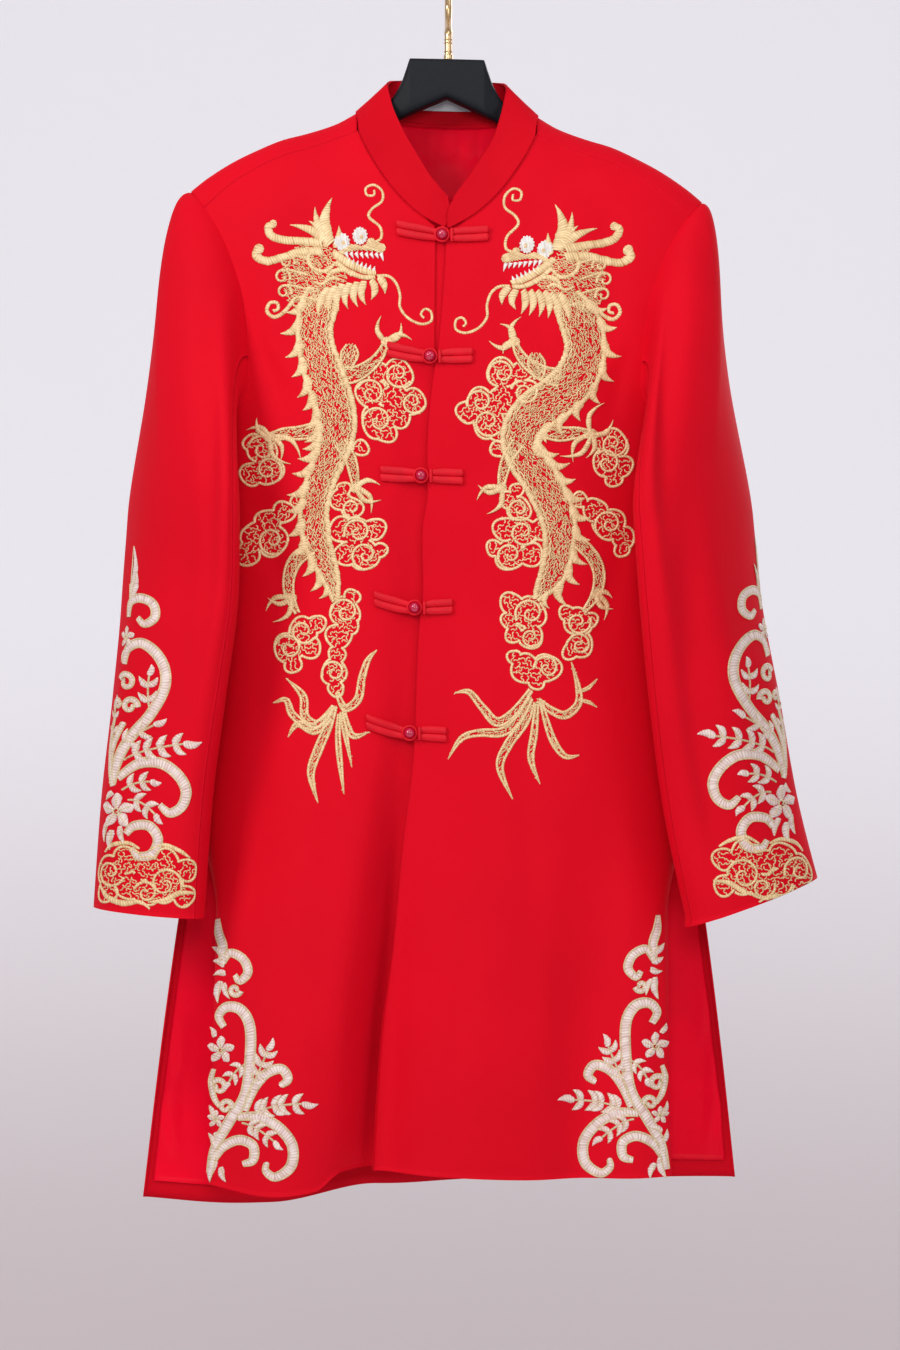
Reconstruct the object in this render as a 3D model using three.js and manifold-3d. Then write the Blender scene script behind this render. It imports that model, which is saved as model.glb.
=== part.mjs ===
// A long mandarin-collar jacket with five frog fastenings, hanging on a contoured hanger.
// Millimetres. +X is to the right of someone facing the jacket, +Y goes to its back, +Z is up.
// The origin is where a rail carries the hook, so heights are given as `down`, the drop below it.
// "left" and "right" are the wearer's own, so the right front is the one at -X.
import * as THREE from "three";
import { mergeVertices } from "three/addons/utils/BufferGeometryUtils.js";
import Module from "manifold-3d";

const wasm = await Module();
wasm.setup();

// ---- Driving dimensions -------------------------------------------------------------------
const CLOTH = 1.6; // shell cloth with its facing
const COLLAR_CLOTH = 2.2; // doubled and stiffened
const LINING_CLOTH = 0.8;
const LACE_CLOTH = 0.9;
const SEAM_GAP = 0.35; // half of the space left between two pieces at a seam
const RIDGE_ROUND = 70; // drop over which the cloth rolls off the shoulder line
const UNDERARM = 424;
const VENT_TOP = 760;
const NECK_SIDE = 81; // half-width of the neckline where the shoulder seam starts
const RIDGE_END = 235; // half-width at the shoulder's end
const SEAM_END = 221; // half-width where the shoulder seam meets the front armhole
const HANG_ROLL = 0.022; // slope of the shoulder line, lower at +X
const HANG_LEAN = 0.0065; // sideways drift of the hem for each mm of drop
const ROLL_FADES = { from: 150, to: 600 };

// Top of the shoulder, and how far below it the forward shoulder seam runs.
const SHOULDER = [
  { x: 0, down: 100, seamDrop: 20 },
  { x: 40, down: 106, seamDrop: 20 },
  { x: 83, down: 129, seamDrop: 20 },
  { x: 102, down: 139.6, seamDrop: 17 },
  { x: 128, down: 148.6, seamDrop: 17 },
  { x: 151, down: 155, seamDrop: 18 },
  { x: 172, down: 164, seamDrop: 19.5 },
  { x: 195, down: 175.5, seamDrop: 22 },
  { x: 220, down: 191.5, seamDrop: 28 },
  { x: 235, down: 203.5, seamDrop: 30 },
  { x: 262, down: 228, seamDrop: 30 },
];
const NECK_FRONT = [
  { x: 0, down: 240 },
  { x: 10, down: 237 },
  { x: 22, down: 227.5 },
  { x: 36, down: 216.5 },
  { x: 50, down: 201.5 },
  { x: 63, down: 184 },
  { x: 73, down: 167 },
  { x: 78, down: 156 },
  { x: 81, down: 148.5 },
];
const NECK_BACK = [
  { x: 0, down: 133 },
  { x: 30, down: 132 },
  { x: 60, down: 128.5 },
  { x: 75, down: 126.5 },
  { x: 83, down: 129 },
];
const ARMHOLE_FRONT = [
  { down: 204, x: 235 },
  { down: 221, x: 221 },
  { down: 246, x: 205.5 },
  { down: 272, x: 194 },
  { down: 304, x: 184.5 },
  { down: 345, x: 179.5 },
  { down: 378, x: 178 },
  { down: 398, x: 184 },
  { down: 412, x: 198 },
  { down: 420, x: 213 },
  { down: 424, x: 226 },
];
const ARMHOLE_BACK = [
  { down: 204, x: 235 },
  { down: 225, x: 226 },
  { down: 260, x: 212 },
  { down: 300, x: 203 },
  { down: 345, x: 199 },
  { down: 378, x: 198 },
  { down: 400, x: 203 },
  { down: 414, x: 214 },
  { down: 424, x: 226 },
];
// The body's plan at each height: half-widths, depths at the centre and the depth of the side edges.
const BODY = [
  { down: 100, frontHalf: 250, backHalf: 250, front: 30, back: 30, frontEdge: 0, backEdge: 0 },
  { down: 160, frontHalf: 250, backHalf: 250, front: 36, back: 36, frontEdge: 1, backEdge: 1 },
  { down: 204, frontHalf: 248, backHalf: 248, front: 42, back: 42, frontEdge: 3, backEdge: 3 },
  { down: 300, frontHalf: 240, backHalf: 240, front: 55, back: 50, frontEdge: 9, backEdge: 9 },
  { down: 424, frontHalf: 226, backHalf: 226, front: 62, back: 52, frontEdge: 16, backEdge: 16 },
  { down: 520, frontHalf: 219, backHalf: 219, front: 60, back: 50, frontEdge: 18, backEdge: 18 },
  { down: 640, frontHalf: 220, backHalf: 220, front: 57, back: 46, frontEdge: 18, backEdge: 18 },
  { down: 760, frontHalf: 226, backHalf: 226, front: 55, back: 44, frontEdge: 16, backEdge: 16 },
  { down: 861, frontHalf: 206, backHalf: 243, front: 54, back: 42, frontEdge: -20, backEdge: 24 },
  { down: 980, frontHalf: 207, backHalf: 259, front: 54, back: 41, frontEdge: -34, backEdge: 26 },
  { down: 1130, frontHalf: 211, backHalf: 276, front: 55, back: 40, frontEdge: -40, backEdge: 26 },
];
const BODY_SQUARENESS = 2.4; // power of the plan's rounded corners
// The opening edge of the left front, which lies on top, and of the right front under it.
const OPENING = [
  { down: 225, over: -1, under: -11 },
  { down: 257, over: -2, under: -10 },
  { down: 346, over: -8, under: -10 },
  { down: 387, over: -14, under: 4 },
  { down: 440, over: -18, under: 2 },
  { down: 476, over: -17, under: 3 },
  { down: 516, over: -22, under: -2 },
  { down: 566, over: -21, under: -1 },
  { down: 612, over: -25, under: -5 },
  { down: 708, over: -28, under: -8 },
  { down: 801, over: -38, under: -18 },
  { down: 883, over: -45, under: -25 },
  { down: 975, over: -56, under: -38 },
  { down: 1057, over: -61, under: -44 },
  { down: 1100, over: -63, under: -47 },
];
const UNDERLAP = 5.2; // how far the right front lies behind the left one where they overlap
const HEM_FRONT = [
  { x: -215, down: 1104 },
  { x: -140, down: 1111 },
  { x: -90, down: 1107 },
  { x: -62, down: 1092 },
  { x: -40, down: 1091 },
  { x: 60, down: 1096 },
  { x: 130, down: 1099 },
  { x: 215, down: 1097 },
];
const HEM_BACK = [
  { x: -276, down: 1122 },
  { x: -134, down: 1137 },
  { x: -50, down: 1115 },
  { x: 60, down: 1112 },
  { x: 276, down: 1108 },
];
// Soft folds: the line each one follows, its half-width and how far it stands out at its foot.
const FOLDS_FRONT = [
  { fromX: -104, fromDown: 520, toX: -146, toDown: 1110, half: 54, out: 30 },
  { fromX: -26, fromDown: 700, toX: -62, toDown: 1110, half: 34, out: -17 },
  { fromX: 150, fromDown: 640, toX: 126, toDown: 1110, half: 30, out: -13 },
  { fromX: 62, fromDown: 520, toX: 34, toDown: 1110, half: 62, out: 9 },
  { fromX: 196, fromDown: 720, toX: 182, toDown: 1110, half: 22, out: 6 },
  { fromX: -186, fromDown: 760, toX: -200, toDown: 1110, half: 22, out: -5 },
];
const FOLDS_BACK = [
  { fromX: -90, fromDown: 480, toX: -150, toDown: 1130, half: 46, out: 20 },
  { fromX: -20, fromDown: 560, toX: -40, toDown: 1130, half: 40, out: -14 },
  { fromX: 60, fromDown: 480, toX: 84, toDown: 1130, half: 44, out: 17 },
  { fromX: 130, fromDown: 600, toX: 170, toDown: 1130, half: 34, out: -12 },
];
// Short drapes below the shoulders, deepest at half of their length.
const DRAPES_FRONT = [
  { fromX: -118, fromDown: 168, toX: -128, toDown: 420, half: 20, out: -5 },
  { fromX: -168, fromDown: 196, toX: -152, toDown: 400, half: 16, out: 5 },
  { fromX: 104, fromDown: 172, toX: 112, toDown: 430, half: 22, out: 5 },
  { fromX: 150, fromDown: 190, toX: 146, toDown: 400, half: 16, out: -5 },
];

// ---- Small mathematics --------------------------------------------------------------------
const lerp = (a, b, t) => a + (b - a) * t;
const clamp01 = (t) => Math.min(1, Math.max(0, t));
function ease(from, to, at) {
  const t = clamp01((at - from) / (to - from));
  return t * t * (3 - 2 * t);
}

// Value of a table's column, on a smooth curve through its rows that doesn't overshoot them.
function lookup(table, key, column, at) {
  const last = table.length - 1;
  const x = (i) => table[i][key];
  const y = (i) => table[i][column];
  if (at <= x(0)) return y(0);
  if (at >= x(last)) return y(last);
  let i = 0;
  while (at > x(i + 1)) i++;
  const step = (k) => (y(k + 1) - y(k)) / (x(k + 1) - x(k));
  const slope = (k) => {
    if (k === 0 || k === last) return step(k === 0 ? 0 : last - 1);
    const [a, b] = [step(k - 1), step(k)];
    return a * b <= 0 ? 0 : (2 * a * b) / (a + b);
  };
  const width = x(i + 1) - x(i);
  const t = (at - x(i)) / width;
  const [t2, t3] = [t * t, t * t * t];
  return (
    (2 * t3 - 3 * t2 + 1) * y(i) +
    (t3 - 2 * t2 + t) * width * slope(i) +
    (3 * t2 - 2 * t3) * y(i + 1) +
    (t3 - t2) * width * slope(i + 1)
  );
}

// ---- The body's two faces -----------------------------------------------------------------
const ridgeDown = (x) => lookup(SHOULDER, "x", "down", Math.abs(x));
const seamDown = (x) => ridgeDown(x) + lookup(SHOULDER, "x", "seamDrop", Math.abs(x));
const bodyAt = (column, down) => lookup(BODY, "down", column, down);

// Share of the full depth at a place: 0 on the shoulder line and at the side edge, 1 at the centre.
function fullness(x, down, half) {
  const side = Math.pow(Math.min(1, Math.abs(x) / half), BODY_SQUARENESS);
  const roll = 1 - clamp01((down - ridgeDown(x)) / RIDGE_ROUND);
  return Math.pow(1 - side, 1 / BODY_SQUARENESS) * Math.sqrt(1 - roll * roll);
}

function foldHeight(folds, x, down, grows) {
  return folds.reduce((sum, fold) => {
    const t = (down - fold.fromDown) / (fold.toDown - fold.fromDown);
    if (t <= 0) return sum;
    const off = (x - lerp(fold.fromX, fold.toX, t)) / fold.half;
    return sum + fold.out * Math.exp(-off * off) * grows(t);
  }, 0);
}
const towardsFoot = (t) => ease(0, 1, t);
const midway = (t) => (t < 1 ? Math.sin(Math.PI * t) ** 2 : 0);

// Half of the space at the side seam, which only exists below the armhole.
const sideGap = (down) => 0.6 * ease(380, UNDERARM, down);

function frontDepth(x, down) {
  const edge = bodyAt("frontEdge", down) - sideGap(down);
  const full = fullness(x, down, bodyAt("frontHalf", down));
  const folds =
    foldHeight(FOLDS_FRONT, x, down, towardsFoot) + foldHeight(DRAPES_FRONT, x, down, midway);
  return edge - (edge + bodyAt("front", down)) * full - folds * full;
}

function backDepth(x, down) {
  const edge = bodyAt("backEdge", down) + sideGap(down);
  const full = fullness(x, down, bodyAt("backHalf", down));
  return edge + (bodyAt("back", down) - edge + foldHeight(FOLDS_BACK, x, down, towardsFoot)) * full;
}

// Lets the whole garment hang: the shoulders follow the tilted hanger and the hem drifts sideways.
function hang(x, y, down) {
  const roll = HANG_ROLL * (1 - ease(ROLL_FADES.from, ROLL_FADES.to, down));
  return new THREE.Vector3(x - HANG_LEAN * Math.max(0, down - 130), y, -down - roll * x);
}
const openingAt = (column, down) => lookup(OPENING, "down", column, down);
const leftFrontPoint = (x, down) => hang(x, frontDepth(x, down), down);

// The right front sinks behind the left one near the opening, once the two overlap.
function rightFrontDepth(x, down) {
  const over = openingAt("over", down);
  return frontDepth(x, down) + UNDERLAP * ease(over - 34, over - 3, x) * ease(345, 385, down);
}
const rightFrontPoint = (x, down) => hang(x, rightFrontDepth(x, down), down);
const backPoint = (x, down) => hang(x, backDepth(x, down), down);

// ---- Cloth walls --------------------------------------------------------------------------
// A sheet is a grid of points, as rows, turned into points and triangles.
function sheetOf(rows) {
  const width = rows[0].length;
  const faces = [];
  for (let r = 0; r + 1 < rows.length; r++) {
    for (let c = 0; c + 1 < width; c++) {
      const [a, b] = [r * width + c, r * width + c + 1];
      faces.push([a, b, b + width], [a, b + width, a + width]);
    }
  }
  return { points: rows.flat(), faces };
}

function joinSheets(sheets) {
  const places = new Map();
  const points = [];
  const faces = [];
  for (const sheet of sheets) {
    const index = sheet.points.map((p) => {
      const key = p.toArray().map((v) => v.toFixed(3)).join();
      if (!places.has(key)) {
        places.set(key, points.length);
        points.push(p);
      }
      return places.get(key);
    });
    for (const face of sheet.faces) {
      const f = face.map((i) => index[i]);
      if (new Set(f).size === 3) faces.push(f);
    }
  }
  return { points, faces };
}

function sheetNormals({ points, faces }) {
  const normals = points.map(() => new THREE.Vector3());
  const [ab, ac] = [new THREE.Vector3(), new THREE.Vector3()];
  for (const [a, b, c] of faces) {
    ab.subVectors(points[b], points[a]);
    ac.subVectors(points[c], points[a]);
    ab.cross(ac);
    for (const i of [a, b, c]) normals[i].add(ab);
  }
  return normals.map((n) => n.normalize());
}

// A closed wall between two faces, `ahead` and `behind` a sheet along its normals, joined at its edges.
function thicken(sheet, behind, ahead = () => 0) {
  const { points, faces } = sheet;
  const normals = sheetNormals(sheet);
  const count = points.length;
  const outer = points.map((p, i) => p.clone().addScaledVector(normals[i], ahead(i)));
  const inner = points.map((p, i) => p.clone().addScaledVector(normals[i], -behind));
  const edges = new Map();
  for (const [a, b, c] of faces) {
    for (const [p, q] of [[a, b], [b, c], [c, a]]) {
      if (edges.has(q + "," + p)) edges.delete(q + "," + p);
      else edges.set(p + "," + q, [p, q]);
    }
  }
  const triangles = [];
  for (const [a, b, c] of faces) triangles.push(a, b, c, a + count, c + count, b + count);
  for (const [p, q] of edges.values()) {
    triangles.push(q, p, p + count, q, p + count, q + count);
  }
  const geometry = new THREE.BufferGeometry().setFromPoints([...outer, ...inner]);
  geometry.setIndex(triangles);
  return geometry;
}
const clothWall = (rows, thick = CLOTH) => thicken(sheetOf(rows), thick);

// A closed solid through a row of rings with equally many points, its ends filled from each ring's first point.
function loft(rings) {
  const n = rings[0].length;
  const last = (rings.length - 1) * n;
  const triangles = [];
  for (let r = 0; r + 1 < rings.length; r++) {
    for (let i = 0; i < n; i++) {
      const [a, b] = [r * n + i, r * n + ((i + 1) % n)];
      triangles.push(a, b, b + n, a, b + n, a + n);
    }
  }
  for (let i = 1; i + 1 < n; i++) {
    triangles.push(0, i + 1, i, last, last + i, last + i + 1);
  }
  const points = rings.flat();
  const geometry = new THREE.BufferGeometry().setFromPoints(points);
  geometry.setIndex(isInsideOut(points, triangles) ? triangles.reverse() : triangles);
  return geometry;
}
function isInsideOut(points, triangles) {
  let volume = 0;
  const cross = new THREE.Vector3();
  for (let i = 0; i < triangles.length; i += 3) {
    const [a, b, c] = [0, 1, 2].map((k) => points[triangles[i + k]]);
    volume += cross.crossVectors(b, c).dot(a);
  }
  return volume < 0;
}

// The place on some sheets that faces a viewer at -Y, at this x and z.
function facing(sheets, x, z) {
  let best = null;
  for (const { points, faces, normals } of sheets) {
    for (const [a, b, c] of faces) {
      const [p, q, r] = [points[a], points[b], points[c]];
      const area = (q.x - p.x) * (r.z - p.z) - (r.x - p.x) * (q.z - p.z);
      const v = ((x - p.x) * (r.z - p.z) - (r.x - p.x) * (z - p.z)) / area;
      const w = ((q.x - p.x) * (z - p.z) - (x - p.x) * (q.z - p.z)) / area;
      if (!(v >= -1e-6 && w >= -1e-6 && v + w <= 1 + 1e-6)) continue;
      const y = p.y + v * (q.y - p.y) + w * (r.y - p.y);
      if (best && best.y <= y) continue;
      const normal = normals[a].clone().multiplyScalar(1 - v - w);
      normal.addScaledVector(normals[b], v).addScaledVector(normals[c], w);
      best = { y, normal: normal.normalize() };
    }
  }
  return best;
}

function solidOf(geometry) {
  const bare = geometry.clone();
  bare.deleteAttribute("normal");
  bare.deleteAttribute("uv");
  const merged = mergeVertices(bare, 1e-3);
  return new wasm.Manifold(
    new wasm.Mesh({
      numProp: 3,
      vertProperties: merged.attributes.position.array,
      triVerts: new Uint32Array(merged.index.array),
    }),
  );
}

function geometryOf(solid) {
  const mesh = solid.getMesh();
  return new THREE.BufferGeometry()
    .setAttribute("position", new THREE.BufferAttribute(mesh.vertProperties, 3))
    .setIndex(new THREE.BufferAttribute(mesh.triVerts, 1));
}
const unite = (geometries) => geometryOf(wasm.Manifold.union(geometries.map(solidOf)));

// ---- Materials ----------------------------------------------------------------------------
const finish = (color, roughness, metalness = 0) =>
  new THREE.MeshStandardMaterial({ color, roughness, metalness });
const SHELL_RED = finish(0xd00f22, 0.72);
const SATIN_RED = finish(0xd81c2c, 0.42);
const LACE_IVORY = finish(0xe6d3c0, 0.6);
const LABEL_WHITE = finish(0xd9dade, 0.5);
const HANGER_BLACK = finish(0x23262c, 0.5);
const HOOK_GOLD = finish(0xc9a76a, 0.25, 1);

const jacket = new THREE.Group();
function addPiece(name, geometry, material) {
  geometry.computeVertexNormals();
  const mesh = new THREE.Mesh(geometry, material);
  mesh.name = name;
  jacket.add(mesh);
}

// ---- Fronts -------------------------------------------------------------------------------
const FRONT_COLUMNS = [0, 10, 22, 36, 50, 63, 73, 81, 108, 136, 162, 185, 203, 213.5, 218.8, 221];
const FRONT_ROWS = [
  0, 0.025, 0.06, 0.1, 0.14, 0.178, 0.201, 0.217, 0.231, 0.27, 0.33, 0.4, 0.47, 0.54, 0.612, 0.66,
  0.71, 0.77, 0.83, 0.89, 0.95, 1,
];

// side is 1 for the left front and -1 for the right one.
function frontRows(side, edgeColumn, place) {
  const rim = SEAM_GAP;
  return FRONT_ROWS.map((r) =>
    FRONT_COLUMNS.map((column) => {
      const inner = side * openingAt(edgeColumn, column < NECK_SIDE ? 240 : 225);
      const start = Math.max(column, inner);
      const top = column < NECK_SIDE ? lookup(NECK_FRONT, "x", "down", start) : seamDown(column);
      const share = Math.max(0, (start - inner) / (SEAM_END - inner));
      const hem = lookup(HEM_FRONT, "x", "down", side * column * 0.95);
      const down = lerp(top + rim, hem, r);
      const armhole = lookup(ARMHOLE_FRONT, "down", "x", Math.max(221, down));
      const outer = down > UNDERARM ? bodyAt("frontHalf", down) : armhole - rim;
      const edge = side * openingAt(edgeColumn, down);
      return place(side * lerp(edge, outer, share), down);
    }),
  );
}
const rightFront = frontRows(-1, "under", rightFrontPoint).map((row) => row.reverse());
const leftFront = frontRows(1, "over", leftFrontPoint);
const frontSheets = [sheetOf(rightFront.reverse()), sheetOf(leftFront.reverse())];
addPiece("front_right", thicken(frontSheets[0], CLOTH), SHELL_RED);
addPiece("front_left", thicken(frontSheets[1], CLOTH), SHELL_RED);

// ---- Back, with the strips that come over the shoulders to the forward seams -------------------
const BACK_COLUMNS = [0, 22, 44, 64, 83, 108, 136, 164, 190, 210, 224.5, 232.7, 235];
const BACK_ROWS = [
  0, 0.0026, 0.0104, 0.0235, 0.045, 0.08, 0.135, 0.19, 0.2135, 0.2288, 0.2397, 0.3, 0.375, 0.45,
  0.53, 0.606, 0.68, 0.76, 0.84, 0.92, 1,
];
const STRIP_ROWS = [1, 0.45, 0.1, 0]; // shares of the seam's drop in front of the shoulder line
const bothSides = (columns) => [...columns.slice(1).reverse().map((c) => -c), ...columns];

function backColumn(column, r) {
  const reach = Math.abs(column);
  const onRidge = (reach * (RIDGE_END - SEAM_GAP)) / RIDGE_END;
  const top = reach < 83 ? lookup(NECK_BACK, "x", "down", reach) : ridgeDown(onRidge);
  const down = lerp(top, lookup(HEM_BACK, "x", "down", column), r);
  const armhole = lookup(ARMHOLE_BACK, "down", "x", Math.max(204, down));
  const outer = down > UNDERARM ? bodyAt("backHalf", down) : armhole - SEAM_GAP;
  return { x: (column * outer) / RIDGE_END, down };
}
function shoulderStrip(side) {
  const columns = BACK_COLUMNS.filter((c) => c >= 83);
  return STRIP_ROWS.map((share) =>
    columns.map((column) => {
      const ridge = backColumn(side * column, 0);
      const pull = lerp(1, (SEAM_END - SEAM_GAP) / (RIDGE_END - SEAM_GAP), share);
      const inward = column === 83 ? lerp(1, (NECK_SIDE + 1) / 83, share) : pull;
      const x = ridge.x * lerp(1, inward, ease(83, 108, column) + (column === 83 ? 1 : 0));
      const drop = share * (seamDown(x) - ridgeDown(x) - SEAM_GAP);
      return leftFrontPoint(x, ridgeDown(x) + drop);
    }),
  );
}
const backRows = BACK_ROWS.map((r) =>
  bothSides(BACK_COLUMNS).map((column) => {
    const { x, down } = backColumn(column, r);
    return backPoint(x, down);
  }),
);
const backSheet = joinSheets([
  sheetOf(backRows),
  sheetOf(shoulderStrip(1).map((row) => row)),
  sheetOf(shoulderStrip(-1).map((row) => row.reverse())),
]);
addPiece("back", thicken(backSheet, CLOTH), SHELL_RED);

// ---- Strip behind the opening -------------------------------------------------------------------
const PLACKET_ROWS = [238, 300, 350, 385, 430, 520, 620, 720, 820, 920, 1000, 1082];
const placketRows = PLACKET_ROWS.map((down) =>
  [-13, 0, 13, 26].map((offset) => {
    const x = openingAt("under", down) + offset;
    return hang(x, rightFrontDepth(x, down) + CLOTH + 0.8, down);
  }),
);
addPiece("placket", clothWall(placketRows.reverse(), LINING_CLOTH), SHELL_RED);

// ---- Back lining, inside the back and shorter than it ---------------------------------------
const LINING_ROWS = [...BACK_ROWS.slice(3, -1), 0.983];
const LINING_INSET = 5; // from the back's free edges at the vents and the armholes
const liningRows = [0.0026, ...LINING_ROWS].map((r, i) =>
  bothSides(BACK_COLUMNS.slice(0, -1)).map((column) => {
    const start = i === 0 && Math.abs(column) >= 83 ? 0.0104 : r;
    const { x, down } = backColumn(column, start);
    const last = BACK_COLUMNS[BACK_COLUMNS.length - 2];
    return backPoint(Math.abs(column) === last ? x - Math.sign(x) * (LINING_INSET - 2.3) : x, down);
  }),
);
const LINING_GAP = 1.45;
const liningSheet = sheetOf(liningRows);
addPiece(
  "lining_back",
  thicken(liningSheet, CLOTH + LINING_GAP + LINING_CLOTH, () => -CLOTH - LINING_GAP),
  SATIN_RED,
);

// ---- Collar ---------------------------------------------------------------------------------
// From the front end to the centre back: the foot on the neckline and the top edge above it.
const COLLAR = [
  { x: 20, down: 228.8, face: "front", topX: 13.5, topY: -40, topDown: 196 },
  { x: 34, down: 218, face: "front", topX: 21, topY: -37, topDown: 185 },
  { x: 48, down: 203.7, face: "front", topX: 30, topY: -33, topDown: 170 },
  { x: 60, down: 188, face: "front", topX: 37, topY: -27, topDown: 158 },
  { x: 70, down: 172.3, face: "front", topX: 42.5, topY: -21, topDown: 147 },
  { x: 78, down: 156, face: "front", topX: 47, topY: -16, topDown: 135 },
  { x: 80.3, down: 148.5, face: "front", topX: 49.5, topY: -12, topDown: 127 },
  { x: 81, down: 139, face: "front", topX: 51.5, topY: -6, topDown: 118 },
  { x: 82, down: 129, face: "front", topX: 54, topY: 3, topDown: 103.5 },
  { x: 75, down: 126.5, face: "back", topX: 52, topY: 11, topDown: 98 },
  { x: 60, down: 128.5, face: "back", topX: 46, topY: 17, topDown: 95 },
  { x: 40, down: 131, face: "back", topX: 33, topY: 21.5, topDown: 93.5 },
  { x: 20, down: 132.5, face: "back", topX: 17, topY: 24, topDown: 93 },
  { x: 0, down: 133, face: "back", topX: 0, topY: 24.5, topDown: 93 },
];
const COLLAR_ENDS = {
  right: { x: 9, down: 237, face: "front", topX: 8, topY: -42, topDown: 207, round: 3.5 },
  left: { x: 3, down: 239.5, face: "front", topX: 5, topY: -43, topDown: 211, round: 4 },
};
const COLLAR_SHARES = [0, 0.34, 0.67, 1];
const COLLAR_SHIFT = 2.5; // the front of the top edge sits this far towards the left front
function collarColumn(row, side, round = 0) {
  const depth = row.face === "front" ? frontDepth : backDepth;
  const foot = hang(side * row.x, depth(row.x, row.down), row.down);
  const shift = COLLAR_SHIFT * ease(115, 160, row.topDown);
  const top = hang(side * row.topX + shift, row.topY, row.topDown);
  const clear = 0.55 / foot.distanceTo(top);
  return COLLAR_SHARES.map((share) => {
    const p = foot.clone().lerp(top, lerp(clear, 1, share));
    p.x -= side * round * Math.sin(Math.PI * clamp01(share * 1.1)) ** 0.8;
    return p;
  });
}
const collarColumns = [
  collarColumn(COLLAR_ENDS.right, -1, COLLAR_ENDS.right.round),
  ...COLLAR.map((row) => collarColumn(row, -1)),
  ...[...COLLAR].reverse().slice(1).map((row) => collarColumn(row, 1)),
  collarColumn(COLLAR_ENDS.left, 1, COLLAR_ENDS.left.round),
];
const collarRows = COLLAR_SHARES.map((_, i) => collarColumns.map((column) => column[i]));
addPiece("collar", clothWall(collarRows, COLLAR_CLOTH), SHELL_RED);

// ---- Blank label inside the back neck ---------------------------------------------------------
const labelRows = [98, 106, 114].map((down) =>
  [-24, -8, 8, 24].map((x) => hang(x + 1, 24.5 + (down - 93) * 0.09 - 3.4 - x * x * 0.0032, down)),
);
addPiece("label", clothWall(labelRows, 0.6), LABEL_WHITE);

// ---- Sleeves ----------------------------------------------------------------------------------
// Each cross-section below the armhole is an oval: its centre, half-length and half-thickness, and
// how far its long axis turns from sideways towards the wearer's front.
const SLEEVE_SECTIONS = {
  right: [
    { down: 500, out: 237, y: -38, long: 83, thick: 27, turn: 52 },
    { down: 575, out: 240, y: -38, long: 80, thick: 30, turn: 49 },
    { down: 666, out: 249.5, y: -36, long: 74, thick: 33, turn: 48.5 },
    { down: 757, out: 260, y: -32, long: 68, thick: 35, turn: 46 },
    { down: 860, out: 267, y: -28, long: 64.5, thick: 36, turn: 43 },
  ],
  left: [
    { down: 500, out: 225.5, y: -52, long: 85, thick: 27, turn: 50 },
    { down: 575, out: 232.5, y: -52, long: 82, thick: 30, turn: 48 },
    { down: 666, out: 246, y: -48, long: 79, thick: 33, turn: 42 },
    { down: 757, out: 261, y: -42, long: 76, thick: 36, turn: 37 },
    { down: 860, out: 285.5, y: -36, long: 75, thick: 39, turn: 32 },
  ],
};
// Where the cuff ends at the sleeve's middle, and how much deeper it is towards the body.
const CUFFS = { right: { down: 859, tilt: 0.06 }, left: { down: 849, tilt: 0.31 } };
const SECTION_TOP = 500;
const CAP_FULLNESS = { right: 118, left: 90 }; // how far the cap swells beyond the shoulder
const CAP_SHARES = [0, 0.07, 0.16, 0.27, 0.4, 0.55, 0.72, 0.86, 1];
const SLEEVE_SHARES = [0.16, 0.33, 0.5, 0.66, 0.82, 1];
const SEAM_FRONT = 86; // turn round the sleeve of its two seams, in degrees from the outer side
const SEAM_BACK = 255;
const SEAM_TURN = 0.8; // half of the space at those seams

function armholePoint(side, turn) {
  const t = turn <= 180 ? turn : 360 - turn;
  const share = t < 90 ? (0.62 * t) / 90 : 0.62 + (0.38 * (t - 90)) / 90;
  const table = turn <= 180 ? ARMHOLE_FRONT : ARMHOLE_BACK;
  const depth = turn <= 180 ? frontDepth : backDepth;
  const path = [];
  for (let i = 0; i <= 60; i++) {
    const down = 204 + 220 * (1 - (1 - i / 60) ** 1.6);
    const x = lookup(table, "down", "x", down);
    path.push(new THREE.Vector3(x, depth(x, down), down));
  }
  const lengths = path.map((p, i) => (i ? p.distanceTo(path[i - 1]) : 0));
  let left = share * lengths.reduce((a, b) => a + b, 0);
  let i = 1;
  while (i < 60 && left > lengths[i]) left -= lengths[i++];
  const p = path[i - 1].clone().lerp(path[i], Math.min(1, left / lengths[i]));
  return new THREE.Vector3(side * p.x, p.y, p.z);
}

function sectionPoint(name, turn, down) {
  const at = (column) => lookup(SLEEVE_SECTIONS[name], "down", column, down);
  const side = name === "left" ? 1 : -1;
  const slant = THREE.MathUtils.degToRad(at("turn"));
  const angle = THREE.MathUtils.degToRad(turn);
  const [a, b] = [at("long") * Math.sin(angle), -at("thick") * Math.cos(angle)];
  const inward = a * Math.cos(slant) + b * Math.sin(slant);
  const y = at("y") - a * Math.sin(slant) + b * Math.cos(slant);
  return new THREE.Vector3(side * (at("out") - inward), y, down);
}

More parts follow.
